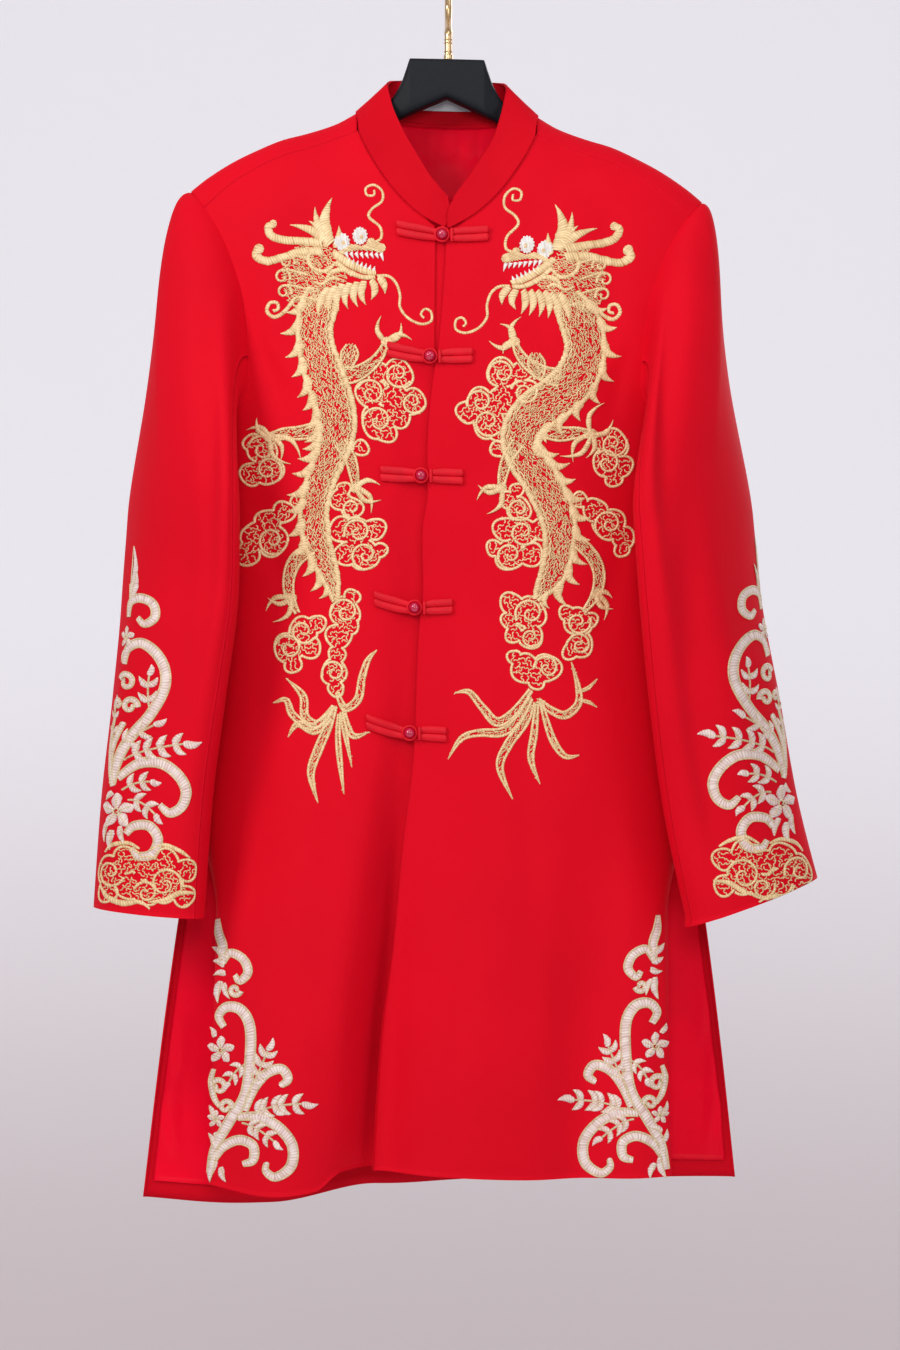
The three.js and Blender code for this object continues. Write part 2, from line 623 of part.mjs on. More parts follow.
// The cap leaves the armhole square to it, then falls into the first cross-section.
function capPoint(name, turn, share) {
  const side = name === "left" ? 1 : -1;
  const low = (1 - Math.cos(THREE.MathUtils.degToRad(turn))) / 2;
  const start = armholePoint(side, turn);
  const away = new THREE.Vector3(start.x - side * 150, start.y - 6, 0).normalize();
  start.addScaledVector(away, lerp(0.9, 1.5, low));
  const leave = away.multiplyScalar(lerp(CAP_FULLNESS[name], 74, low)).setZ(lerp(-26, 0, low));
  const end = sectionPoint(name, turn, SECTION_TOP);
  const reach = start.distanceTo(end);
  const arrive = sectionPoint(name, turn, SECTION_TOP + 60).sub(end).multiplyScalar(reach / 60);
  const [t, t2, t3] = [share, share ** 2, share ** 3];
  return start
    .multiplyScalar(2 * t3 - 3 * t2 + 1)
    .addScaledVector(leave, t3 - 2 * t2 + t)
    .addScaledVector(end, 3 * t2 - 2 * t3)
    .addScaledVector(arrive, t3 - t2);
}

function sleevePoint(name, turn, level) {
  const side = name === "left" ? 1 : -1;
  if (level <= 1) {
    const p = capPoint(name, turn, level);
    return hang(p.x, p.y, p.z);
  }
  const cuff = CUFFS[name];
  const end = sectionPoint(name, turn, cuff.down);
  const centre = lookup(SLEEVE_SECTIONS[name], "down", "out", cuff.down);
  const bottom = cuff.down + cuff.tilt * (centre - side * end.x);
  const p = sectionPoint(name, turn, lerp(SECTION_TOP, bottom, level - 1));
  return hang(p.x, p.y, p.z);
}

const SEAM_CROWDING = 0.7;
const SLEEVE_LEVELS = [...CAP_SHARES, ...SLEEVE_SHARES.map((share) => 1 + share)];
// Columns are closer together at the seams, where a sleeve is most curved.
function sleeveTurns(from, to, columns) {
  return Array.from({ length: columns + 1 }, (_, i) => {
    const rounded = (1 - Math.cos((Math.PI * i) / columns)) / 2;
    return lerp(from, to, lerp(i / columns, rounded, SEAM_CROWDING));
  });
}
function sleevePiece(name, turns) {
  const rows = SLEEVE_LEVELS.map((level) =>
    turns.map((turn) => sleevePoint(name, (turn + 360) % 360, level)),
  );
  return name === "right" ? rows.map((row) => row.reverse()) : rows;
}
const TOP_TURNS = [
  ...sleeveTurns(SEAM_BACK - 360 + SEAM_TURN, 0, 9).slice(0, -1), // one column runs down from the shoulder
  ...sleeveTurns(0, SEAM_FRONT - SEAM_TURN, 7),
];
const UNDER_TURNS = sleeveTurns(SEAM_FRONT + SEAM_TURN, SEAM_BACK - SEAM_TURN, 12);
for (const name of ["right", "left"]) {
  const top = sleevePiece(name, TOP_TURNS);
  const under = sleevePiece(name, UNDER_TURNS);
  addPiece(`sleeve_${name}_top`, clothWall(top), SHELL_RED);
  addPiece(`sleeve_${name}_under`, clothWall(under), SHELL_RED);
}

// ---- Frog fastenings ----------------------------------------------------------------------------
// The button, then the outer end of the loop half on the right front and of the knob half on the left.
const FROGS = [
  { x: -3.8, down: 245.7, loopX: -45.3, loopDown: 239.4, knobX: 38.7, knobDown: 243 },
  { x: -13.9, down: 356.5, loopX: -52.8, loopDown: 350, knobX: 25, knobDown: 355 },
  { x: -21.2, down: 464, loopX: -58.2, loopDown: 462, knobX: 17.2, knobDown: 465 },
  { x: -26.3, down: 582.6, loopX: -63.1, loopDown: 573.5, knobX: 8.4, knobDown: 581 },
  { x: -30, down: 695.5, loopX: -69.5, loopDown: 684, knobX: 3.7, knobDown: 697 },
];
const BUTTON_RADIUS = 4.7;
const LOOP = { radius: 6.7, cord: 1.6 };
const SHANK = 0.8; // flat tongue that ties a button to its own half, under the other's loop
// Half of the outline across a doubled cord: how far from its middle line, and how high.
const CORD_SECTION = [
  { across: 0, high: 0 },
  { across: 7, high: 0 },
  { across: 7, high: 1.3 },
  { across: 5.4, high: 2.7 },
  { across: 2.2, high: 2.7 },
  { across: 0.4, high: 1.2 },
];
const sheetsWithNormals = frontSheets.map((sheet) => ({ ...sheet, normals: sheetNormals(sheet) }));

// The foremost cloth near a place on the fronts, so that a cord bridges the step at the opening.
function cordSeat(x, down) {
  const at = hang(x, 0, down);
  const found = [-6, 0, 6].flatMap((dx) =>
    [-8, 0, 8].map((dz) => facing(sheetsWithNormals, at.x + dx, at.z + dz)?.y ?? 0),
  );
  return at.setY(Math.min(...found) - 0.45);
}
function cordStrip(outer, inner, innerSeat) {
  const section = [
    ...CORD_SECTION,
    ...CORD_SECTION.slice(1, -1).reverse().map(({ across, high }) => ({ across: -across, high })),
  ];
  const rings = [0, 0.2, 0.45, 0.72, 1].map((t) => {
    const x = lerp(outer.x, inner.x, t);
    const down = lerp(outer.down, inner.down, t ** 0.8);
    const seat = cordSeat(x, down);
    seat.y = lerp(seat.y, innerSeat.y, ease(0.5, 0.95, t));
    const narrow = 1 - 0.16 * ease(0.6, 1, t);
    return section.map(
      ({ across, high }) => new THREE.Vector3(seat.x, seat.y - high, seat.z + across * narrow),
    );
  });
  return loft(rings);
}
FROGS.forEach((frog, i) => {
  const seat = cordSeat(frog.x, frog.down);
  const ring = new THREE.TorusGeometry(LOOP.radius, LOOP.cord, 6, 12);
  ring.rotateX(Math.PI / 2);
  ring.translate(seat.x, seat.y - LOOP.cord - SHANK - 0.35, seat.z);
  const loopEnd = { x: frog.x - LOOP.radius + 0.6, down: frog.down };
  const knobEnd = { x: frog.x + LOOP.radius + LOOP.cord + 0.5, down: frog.down };
  const loopHalf = cordStrip({ x: frog.loopX, down: frog.loopDown }, loopEnd, seat);
  const knobHalf = cordStrip({ x: frog.knobX, down: frog.knobDown }, knobEnd, seat);
  const button = new THREE.SphereGeometry(BUTTON_RADIUS, 8, 6);
  button.rotateX(Math.PI / 2);
  button.translate(seat.x, seat.y - BUTTON_RADIUS + 0.2, seat.z);
  const reach = LOOP.radius + LOOP.cord + 2;
  const shank = new THREE.BoxGeometry(reach, SHANK, 4);
  shank.translate(seat.x + reach / 2, seat.y - SHANK / 2, seat.z);
  addPiece(`frog_${i + 1}_loop`, unite([loopHalf, ring]), SATIN_RED);
  addPiece(`frog_${i + 1}_knob`, unite([knobHalf, shank, button]), SATIN_RED);
});

// ---- Lace ---------------------------------------------------------------------------------------
// Scrolls, stems and leaves are flat bands. `place` puts a point of the drawing on the cloth.
function spiral(cx, cy, radius, start, sweep, tighten, steps) {
  return Array.from({ length: steps + 1 }, (_, i) => {
    const t = i / steps;
    const angle = THREE.MathUtils.degToRad(start + sweep * t);
    const r = radius * (1 - tighten * t);
    return { s: cx + r * Math.cos(angle), t: cy + r * Math.sin(angle) };
  });
}
const LACE_LIFT = 1;
function laceBand(path, widthFrom, widthTo, place) {
  const rings = path.map((p, i) => {
    const before = path[Math.max(0, i - 1)];
    const after = path[Math.min(path.length - 1, i + 1)];
    const length = Math.hypot(after.s - before.s, after.t - before.t);
    const [ds, dt] = [(after.t - before.t) / length, -(after.s - before.s) / length];
    const half = lerp(widthFrom, widthTo, i / (path.length - 1)) / 2;
    return [
      place(p.s - ds * half, p.t - dt * half, LACE_LIFT),
      place(p.s + ds * half, p.t + dt * half, LACE_LIFT),
      place(p.s + ds * half, p.t + dt * half, LACE_LIFT + LACE_CLOTH),
      place(p.s - ds * half, p.t - dt * half, LACE_LIFT + LACE_CLOTH),
    ];
  });
  return loft(rings);
}
// One drawing serves all four: s runs from the vent edge or the sleeve's outer side, t upwards.
function laceDrawing(tall) {
  const stem = (points) => {
    const curve = new THREE.SplineCurve(points.map(([s, t]) => new THREE.Vector2(s, t * tall)));
    return curve.getPoints(points.length * 2).map((p) => ({ s: p.x, t: p.y }));
  };
  const up = (t) => t * tall;
  return [
    { path: stem([[6, 0.03], [5, 0.25], [8, 0.45], [6, 0.65], [9, 0.82], [7, 1]]), from: 6, to: 2 },
    { path: spiral(26, up(0.14), 25, 150, -290, 0.55, 11), from: 4, to: 6 },
    { path: spiral(62, up(0.265) - 22, 22, 92, -250, 0.5, 10), from: 4, to: 6 },
    { path: stem([[6, 0.2], [24, 0.31], [46, 0.3], [62, 0.265]]), from: 5, to: 5 },
    { path: stem([[40, 0.3], [56, 0.37], [74, 0.39], [90, 0.42]]), from: 6, to: 2 },
    { path: spiral(24, up(0.5), 20, 215, 280, 0.45, 10), from: 5, to: 6 },
    { path: spiral(21, up(0.78), 14, 200, 260, 0.5, 8), from: 4, to: 5 },
  ];
}
function lace(name, tall, place) {
  const bands = laceDrawing(tall).map(({ path, from, to }) => laceBand(path, from, to, place));
  addPiece(name, unite(bands), LACE_IVORY);
}
const HEM_LACE = { foot: 1094, tall: 240, inset: 3 };
for (const side of [-1, 1]) {
  const sheets = [sheetsWithNormals[side < 0 ? 0 : 1]];
  lace(side < 0 ? "lace_hem_right" : "lace_hem_left", HEM_LACE.tall, (s, t, high) => {
    const down = HEM_LACE.foot - t;
    const x = side * (bodyAt("frontHalf", down) - HEM_LACE.inset - s);
    const at = hang(x, 0, down);
    const { y, normal } = facing(sheets, at.x, at.z);
    return at.setY(y).addScaledVector(normal, high);
  });
}

// On a sleeve the drawing is wrapped round from its outer side, above the cuff.
const SLEEVE_LACE = {
  right: { foot: 806, tall: 282, edge: -62, perDegree: 1.0 },
  left: { foot: 800, tall: 284, edge: -52, perDegree: 1.12 },
};
for (const name of ["right", "left"]) {
  const { foot, tall, edge, perDegree } = SLEEVE_LACE[name];
  const grid = sleevePiece(name, TOP_TURNS);
  const normals = sheetNormals(sheetOf(grid));
  const width = TOP_TURNS.length;
  lace(`lace_sleeve_${name}`, tall, (s, t, high) => {
    const turn = edge + s / perDegree;
    const level = 1 + (foot - t - SECTION_TOP) / (CUFFS[name].down - SECTION_TOP);
    let column = 0;
    while (turn > TOP_TURNS[column + 1]) column++;
    const u = (turn - TOP_TURNS[column]) / (TOP_TURNS[column + 1] - TOP_TURNS[column]);
    let row = 0;
    while (level > SLEEVE_LEVELS[row + 1]) row++;
    const v = (level - SLEEVE_LEVELS[row]) / (SLEEVE_LEVELS[row + 1] - SLEEVE_LEVELS[row]);
    const at = (r, c) => r * width + (name === "right" ? width - 1 - c : c);
    const points = grid.flat();
    // The quad's diagonal runs from its first corner to the opposite one.
    const near = name === "right" ? 1 - u : u;
    const c0 = name === "right" ? column + 1 : column;
    const c1 = name === "right" ? column : column + 1;
    const [a, b, c, d] = [at(row, c0), at(row, c1), at(row + 1, c1), at(row + 1, c0)];
    const weights =
      near > v
        ? [[a, 1 - near], [b, near - v], [c, v]]
        : [[a, 1 - v], [c, near], [d, v - near]];
    const place = new THREE.Vector3();
    const normal = new THREE.Vector3();
    for (const [i, weight] of weights) {
      place.addScaledVector(points[i], weight);
      normal.addScaledVector(normals[i], weight);
    }
    return place.addScaledVector(normal.normalize(), high);
  });
}

// ---- Hanger -------------------------------------------------------------------------------------
// Half of it, from its middle: drops of its top and underside, half-thickness and how far back it sits.
const HANGER = [
  { x: 0, top: 78, under: 114, half: 11, y: 0, square: 5 },
  { x: 17, top: 78, under: 121.5, half: 11, y: 0, square: 5 },
  { x: 33.5, top: 78, under: 129.2, half: 11, y: 0, square: 5 },
  { x: 37.5, top: 88, under: 131, half: 10.5, y: 1, square: 5 },
  { x: 42, top: 100, under: 133, half: 9.5, y: 2, square: 4 },
  { x: 51.5, top: 115, under: 137.5, half: 8, y: 4, square: 3 },
  { x: 66, top: 126, under: 144, half: 8, y: 4, square: 2.4 },
  { x: 84, top: 135.5, under: 156, half: 9, y: 2, square: 2.2 },
  { x: 128, top: 154.5, under: 175, half: 11, y: 0, square: 2.2 },
  { x: 172, top: 170.5, under: 192, half: 11, y: 0, square: 2.2 },
  { x: 196, top: 183, under: 204, half: 10, y: 1, square: 2.2 },
  { x: 208, top: 192, under: 209, half: 7, y: 2, square: 2.2 },
  { x: 214, top: 199, under: 207, half: 4, y: 2, square: 2.2 },
];
const HANGER_SIDES = 12;
function hangerRing({ x, top, under, half, y: middle, square }, side) {
  return Array.from({ length: HANGER_SIDES }, (_, i) => {
    const angle = ((i + 0.5) / HANGER_SIDES) * 2 * Math.PI;
    const round = (v) => Math.sign(v) * Math.abs(v) ** (2 / square);
    const y = middle + half * round(Math.cos(angle));
    const down = (top + under) / 2 - ((under - top) / 2) * round(Math.sin(angle));
    return hang(side * x, y, down);
  });
}
const hangerRings = [
  ...[...HANGER].reverse().map((row) => hangerRing(row, -1)),
  ...HANGER.slice(1).map((row) => hangerRing(row, 1)),
];
addPiece("hanger", loft(hangerRings), HANGER_BLACK);

// ---- Hook: a collar on the hanger, a neck, and three quarters of a circle over the rail --------------
const HOOK_WIRE = 3.3;
const HOOK_PATH = [
  { y: 0, z: -77.5, r: 4.2 },
  { y: 0, z: -73.4, r: 4.2 },
  { y: 0, z: -73.2, r: 3.3 },
  { y: 0, z: -58, r: 3.3 },
  { y: 1.2, z: -53.4, r: 3.8 },
  { y: 5, z: -49, r: 3.3 },
  { y: 13, z: -44, r: 3.3 },
  { y: 21, z: -36, r: 3.3 },
  { y: 25, z: -25, r: 3.3 },
  { y: 23, z: -12, r: 3.3 },
  { y: 15, z: -1.8, r: 3.3 },
  { y: 7, z: 2.4, r: 3.3 },
  { y: 0, z: HOOK_WIRE, r: HOOK_WIRE },
  { y: -8, z: 2, r: 3.3 },
  { y: -16, z: -3.2, r: 3.3 },
  { y: -22.5, z: -12, r: 3.3 },
  { y: -25, z: -23, r: 3.3 },
  { y: -23.5, z: -33, r: 2.8 },
];
const hookRings = HOOK_PATH.map(({ y, z, r }, i) => {
  const before = HOOK_PATH[Math.max(0, i - 1)];
  const after = HOOK_PATH[Math.min(HOOK_PATH.length - 1, i + 1)];
  const along = new THREE.Vector3(0, after.y - before.y, after.z - before.z).normalize();
  const across = new THREE.Vector3(0, -along.z, along.y);
  return Array.from({ length: 10 }, (_, k) => {
    const angle = (k / 10) * 2 * Math.PI;
    return new THREE.Vector3(1.2, y, z)
      .addScaledVector(across, r * Math.cos(angle))
      .add(new THREE.Vector3(r * Math.sin(angle), 0, 0));
  });
});
addPiece("hook", loft(hookRings), HOOK_GOLD);

export default jacket;
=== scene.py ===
"""Looks of the long mandarin-collar jacket: cloth panels, thread work, lace, fastenings and hanger.

Sizes are millimetres until a mesh is made. `down` is the drop below the rail, as in the solids.
"""
import math

import bpy
import numpy as np
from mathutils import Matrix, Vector


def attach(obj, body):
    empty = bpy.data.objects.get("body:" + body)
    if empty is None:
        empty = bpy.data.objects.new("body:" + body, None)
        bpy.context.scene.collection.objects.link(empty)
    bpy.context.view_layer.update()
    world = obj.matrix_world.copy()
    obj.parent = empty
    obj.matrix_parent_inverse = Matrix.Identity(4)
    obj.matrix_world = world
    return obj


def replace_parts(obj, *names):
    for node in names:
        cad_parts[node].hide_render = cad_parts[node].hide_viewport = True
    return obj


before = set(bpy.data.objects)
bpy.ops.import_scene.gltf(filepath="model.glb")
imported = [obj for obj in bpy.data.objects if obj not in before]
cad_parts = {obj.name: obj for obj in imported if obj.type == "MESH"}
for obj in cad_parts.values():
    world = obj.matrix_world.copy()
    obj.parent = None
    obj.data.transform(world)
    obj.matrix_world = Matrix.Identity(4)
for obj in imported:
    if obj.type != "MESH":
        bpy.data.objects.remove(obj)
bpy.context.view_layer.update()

scene = bpy.context.scene

# The camera stands on the view's middle line, DISTANCE before a plane where a pixel is SCALE mm.
DISTANCE, SCALE, PLANE, EYE_X, EYE_Z = 2800.0, 0.9, -60.0, 2.76, -643.3
FRAME_WIDTH, FRAME_HEIGHT = 900, 1350
MID_U, MID_V = FRAME_WIDTH / 2, FRAME_HEIGHT / 2
rng = np.random.default_rng(11)

# ---- The garment's own sizes, the same tables as its solids --------------------------------
CLOTH, COLLAR_CLOTH, LINING_CLOTH = 1.6, 2.2, 0.8
SIDES = {"right": -1, "left": 1}
GAP, RIDGE_ROUND, UNDERARM, NECK_SIDE, RIDGE_END, SEAM_END = 0.04, 70.0, 424.0, 81.0, 235.0, 221.0
HANG_ROLL, HANG_LEAN, SQUARE, UNDERLAP = 0.022, 0.0065, 2.4, 5.2
LEAN_FROM, ROLL_FROM, ROLL_TO = 130, 150, 600
NECK_FOOT, OPENING_TOP, ARM_TOP, BACK_NECK, LINING_HALF = 240, 225, 204, 83.0, 230.5
# Below these drops the right front sinks beside the opening, and dips away from its edge.
SINK_FROM, SINK_TO, DIP_FROM, DIP_TO, DIP, DIP_HALF = 345, 385, 660, 940, 13, 24


def table(names, *rows):
    columns = list(zip(*rows))
    return {name: np.array(column, float) for name, column in zip(names.split(), columns)}


SHOULDER = table("x down drop", (0, 100, 20), (40, 106, 20), (83, 129, 20), (102, 139.6, 17),
                 (128, 148.6, 17), (151, 155, 18), (172, 164, 19.5), (195, 175.5, 22),
                 (220, 191.5, 28), (235, 203.5, 30), (262, 228, 30))
NECK_FRONT = table("x down", (0, 240), (10, 237), (22, 227.5), (36, 216.5), (50, 201.5), (63, 184),
                   (73, 167), (78, 156), (81, 148.5))
NECK_BACK = table("x down", (0, 133), (30, 132), (60, 128.5), (75, 126.5), (83, 129))
ARM_FRONT = table("down x", (204, 235), (221, 221), (246, 205.5), (272, 194), (304, 184.5),
                  (345, 179.5), (378, 178), (398, 184), (412, 198), (420, 213), (424, 226))
ARM_BACK = table("down x", (204, 235), (225, 226), (260, 212), (300, 203), (345, 199), (378, 198),
                 (400, 203), (414, 214), (424, 226))
BODY = table("down fhalf bhalf front back fedge bedge",
             (100, 250, 250, 30, 30, 0, 0), (160, 250, 250, 36, 36, 1, 1),
             (204, 248, 248, 42, 42, 3, 3), (300, 240, 240, 55, 50, 9, 9),
             (424, 226, 226, 62, 52, 16, 16), (520, 219, 219, 60, 50, 18, 18),
             (640, 220, 220, 57, 46, 18, 18), (760, 226, 226, 55, 44, 16, 16),
             (861, 206, 243, 54, 42, -20, 24), (980, 207, 259, 54, 41, -34, 26),
             (1130, 211, 276, 55, 40, -40, 26))
OPENING = table("down over under", (225, -1, -11), (257, -2, -10), (346, -8, -10), (387, -14, 4),
                (440, -18, 2), (476, -17, 3), (516, -22, -2), (566, -21, -1), (612, -25, -5),
                (708, -28, -8), (801, -38, -18), (883, -45, -25), (975, -56, -38),
                (1057, -61, -44), (1100, -63, -47))
HEM_FRONT = table("x down", (-215, 1104), (-140, 1111), (-90, 1107), (-62, 1092), (-40, 1091),
                  (60, 1096), (130, 1099), (215, 1097))
HEM_BACK = table("x down", (-276, 1122), (-134, 1137), (-50, 1115), (60, 1112), (276, 1108))
# Each fold: its line, half-width and how far it stands out; `grows` to its foot or `mid`way.
FOLD_NAMES = "x0 d0 x1 d1 half out"
FOLDS_FRONT = table(FOLD_NAMES, (-104, 520, -146, 1110, 54, 30), (-26, 700, -62, 1110, 34, -17),
                    (150, 640, 126, 1110, 30, -13), (62, 520, 34, 1110, 62, 9),
                    (196, 720, 182, 1110, 22, 6), (-186, 760, -200, 1110, 22, -5))
FOLDS_BACK = table(FOLD_NAMES, (-90, 480, -150, 1130, 46, 20), (-20, 560, -40, 1130, 40, -14),
                   (60, 480, 84, 1130, 44, 17), (130, 600, 170, 1130, 34, -12))
DRAPES_FRONT = table(FOLD_NAMES, (-118, 168, -128, 420, 20, -5), (-168, 196, -152, 400, 16, 5),
                     (104, 172, 112, 430, 22, 5), (150, 190, 146, 400, 16, -5))


# Soft creases that only the looks have: they fade to nothing at both ends.
CREASES_FRONT = table(FOLD_NAMES, (-178, 300, -128, 470, 9, -2.4), (-172, 330, -100, 420, 8, 1.8),
                      (-190, 430, -120, 640, 12, -2.2), (-60, 260, -84, 420, 12, 1.6),
                      (-150, 560, -176, 900, 13, -2.6), (-88, 700, -96, 1090, 12, 2.2),
                      (-50, 860, -66, 1100, 9, -2.0), (-200, 880, -206, 1110, 9, -2.4),
                      (176, 300, 132, 480, 9, -2.6), (168, 330, 96, 430, 8, 1.8),
                      (186, 440, 128, 660, 12, -2.4), (60, 270, 84, 430, 12, 1.4),
                      (60, 620, 92, 940, 14, -2.0), (168, 700, 172, 1100, 12, 2.4),
                      (98, 780, 90, 1110, 12, 2.0), (28, 820, 4, 1100, 11, -1.8),
                      (204, 900, 200, 1110, 9, -2.2), (-64, 560, -92, 1300, 20, 6.5),
                      (-34, 600, -56, 1300, 13, -5.0))
CREASES_BACK = table(FOLD_NAMES, (-170, 300, -120, 480, 10, -2.6), (170, 300, 118, 480, 10, -2.6),
                     (-150, 240, -40, 300, 10, 1.8), (150, 240, 40, 300, 10, 1.8),
                     (-190, 460, -130, 700, 13, -2.4), (190, 460, 130, 700, 13, 2.2),
                     (-60, 700, -96, 1100, 14, 2.4), (10, 640, 6, 1090, 13, -2.2),
                     (120, 760, 140, 1110, 12, 2.2), (200, 800, 214, 1110, 11, -2.4),
                     (-206, 800, -222, 1110, 11, 2.4), (-24, 170, -30, 280, 7, -1.2),
                     (26, 170, 30, 280, 7, -1.2), (-8, 168, -8, 250, 6, 0.9), (9, 168, 9, 250, 6, 0.9))


def ease(a, b, at):
    t = np.clip((np.asarray(at, float) - a) / (b - a), 0, 1)
    return t * t * (3 - 2 * t)


def lerp(a, b, t):
    return a + (b - a) * t


def curve(rows, key, column, at):
    """A smooth curve through a table's rows that doesn't overshoot them."""
    xs, ys = rows[key], rows[column]
    at = np.clip(np.asarray(at, float), xs[0], xs[-1])
    i = np.clip(np.searchsorted(xs, at, side="left") - 1, 0, len(xs) - 2)
    step = np.diff(ys) / np.diff(xs)
    slope = np.zeros(len(xs))
    slope[0], slope[-1] = step[0], step[-1]
    a, b = step[:-1], step[1:]
    with np.errstate(divide="ignore", invalid="ignore"):
        slope[1:-1] = np.where(a * b <= 0, 0, 2 * a * b / (a + b))
    w = xs[i + 1] - xs[i]
    t = (at - xs[i]) / w
    return ((2 * t**3 - 3 * t**2 + 1) * ys[i] + (t**3 - 2 * t**2 + t) * w * slope[i]
            + (3 * t**2 - 2 * t**3) * ys[i + 1] + (t**3 - t**2) * w * slope[i + 1])


def body(column, down):
    return curve(BODY, "down", column, down)


def ridge(x):
    return curve(SHOULDER, "x", "down", np.abs(x))


def seam(x):
    return ridge(x) + curve(SHOULDER, "x", "drop", np.abs(x))


def fullness(x, down, half):
    side = np.minimum(1, np.abs(x) / half) ** SQUARE
    roll = 1 - np.clip((down - ridge(x)) / RIDGE_ROUND, 0, 1)
    return (1 - side) ** (1 / SQUARE) * np.sqrt(1 - roll * roll)


def folds(rows, x, down, midway=False):
    total = 0
    for x0, d0, x1, d1, half, out in zip(*(rows[n] for n in FOLD_NAMES.split())):
        t = (down - d0) / (d1 - d0)
        off = (x - lerp(x0, x1, t)) / half
        grow = np.where(t < 1, np.sin(np.pi * np.clip(t, 0, 1)) ** 2, 0) if midway else ease(0, 1, t)
        total = total + np.where(t > 0, out * np.exp(-off * off) * grow, 0)
    return total


def side_gap(down):
    return 0.6 * ease(380, UNDERARM, down)


def front_depth(x, down):
    edge = body("fedge", down) - side_gap(down)
    full = fullness(x, down, body("fhalf", down))
    out = (folds(FOLDS_FRONT, x, down) + folds(DRAPES_FRONT, x, down, True)
           + folds(CREASES_FRONT, x, down, True))
    return edge - (edge + body("front", down)) * full - out * full


def right_front_depth(x, down):
    over = curve(OPENING, "down", "over", down)
    sink = UNDERLAP * ease(0, 31, x - over + 34) * ease(SINK_FROM, SINK_TO, down)
    dip = DIP * ease(DIP_FROM, DIP_TO, down) * np.exp(-((x - over + 6) / DIP_HALF) ** 2)
    return front_depth(x, down) + sink + dip


def back_depth(x, down):
    edge = body("bedge", down) + side_gap(down)
    full = fullness(x, down, body("bhalf", down))
    out = folds(FOLDS_BACK, x, down) + folds(CREASES_BACK, x, down, True)
    return edge + (body("back", down) - edge + out) * full


def lean_at(down):
    return HANG_LEAN * np.maximum(0, down - LEAN_FROM)


def roll_at(down):
    return HANG_ROLL * (1 - ease(ROLL_FROM, ROLL_TO, down))


def hang(x, y, down):
    """The frame's place of a point of the garment, which leans and rolls a little on its hanger."""
    x, y, down = np.broadcast_arrays(*(np.asarray(v, float) for v in (x, y, down)))
    return np.stack([x - lean_at(down), y, -down - roll_at(down) * x], -1)


# ---- Meshes ------------------------------------------------------------------------------------
def new_object(name, verts, faces, material, attributes=None):
    mesh = bpy.data.meshes.new(name)
    verts = np.asarray(verts, float).reshape(-1, 3) / 1000
    faces = np.asarray(faces, dtype=np.int32)
    count, corners = faces.shape
    mesh.vertices.add(len(verts))
    mesh.vertices.foreach_set("co", verts.ravel())
    mesh.loops.add(count * corners)
    mesh.loops.foreach_set("vertex_index", faces.ravel())
    mesh.polygons.add(count)
    mesh.polygons.foreach_set("loop_start", np.arange(count) * corners)
    mesh.polygons.foreach_set("use_smooth", np.full(count, True))
    mesh.update(calc_edges=True)
    for key, values in (attributes or {}).items():
        mesh.attributes.new(key, "FLOAT", "POINT").data.foreach_set("value", np.asarray(values, float))
    mesh.materials.append(material)
    obj = bpy.data.objects.new(name, mesh)
    scene.collection.objects.link(obj)
    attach(obj, "root")
    return obj


def grid_faces(rows, cols, wrap=False):
    r, c = np.meshgrid(np.arange(rows - 1), np.arange(cols if wrap else cols - 1), indexing="ij")
    a, b = r * cols + c, r * cols + (c + 1) % cols
    return np.stack([a, b, b + cols, a + cols], -1).reshape(-1, 4)


def grid_normals(grid):
    du = np.gradient(grid, axis=1)
    dv = np.gradient(grid, axis=0)
    n = np.cross(dv, du)
    return n / np.maximum(1e-9, np.linalg.norm(n, axis=-1, keepdims=True))


def cloth_shell(name, grid, thick, material, outward):
    """A panel with real thickness, its face towards `outward`."""
    n = grid_normals(grid)
    flip = outward(grid, n) > 0
    inner = grid - (n if flip else -n) * thick
    rows, cols = grid.shape[:2]
    size = rows * cols
    faces = grid_faces(rows, cols)[:, ::-1 if flip else 1]
    index = np.arange(size).reshape(rows, cols)
    ring = np.concatenate([index[0], index[1:, -1], index[-1, -2::-1], index[-2:0:-1, 0]])
    a, b = (np.roll(ring, -1), ring) if flip else (ring, np.roll(ring, -1))
    rim = np.stack([a, b, b + size, a + size], -1)
    return new_object(name, np.concatenate([grid.reshape(-1, 3), inner.reshape(-1, 3)]),
                      np.concatenate([faces, faces[:, ::-1] + size, rim]), material)


def facing(axis, sign):
    return lambda grid, n: sign * n[..., axis].mean()


# ---- Materials -------------------------------------------------------------------------------
def material(name, color, roughness, metallic=0.0, **extra):
    m = bpy.data.materials.new(name)
    m.use_nodes = True
    bsdf = m.node_tree.nodes["Principled BSDF"]
    bsdf.inputs["Base Color"].default_value = (*color, 1)
    bsdf.inputs["Roughness"].default_value = roughness
    bsdf.inputs["Metallic"].default_value = metallic
    for key, value in extra.items():
        bsdf.inputs[key.replace("_", " ")].default_value = value
    return m


def add(m, kind, **values):
    node = m.node_tree.nodes.new(kind)
    for key, value in values.items():
        if hasattr(node, key):
            setattr(node, key, value)
        else:
            node.inputs[key.replace("_", " ")].default_value = value
    return node


def link(m, a, out, b, into):
    m.node_tree.links.new(a.outputs[out], b.inputs[into])


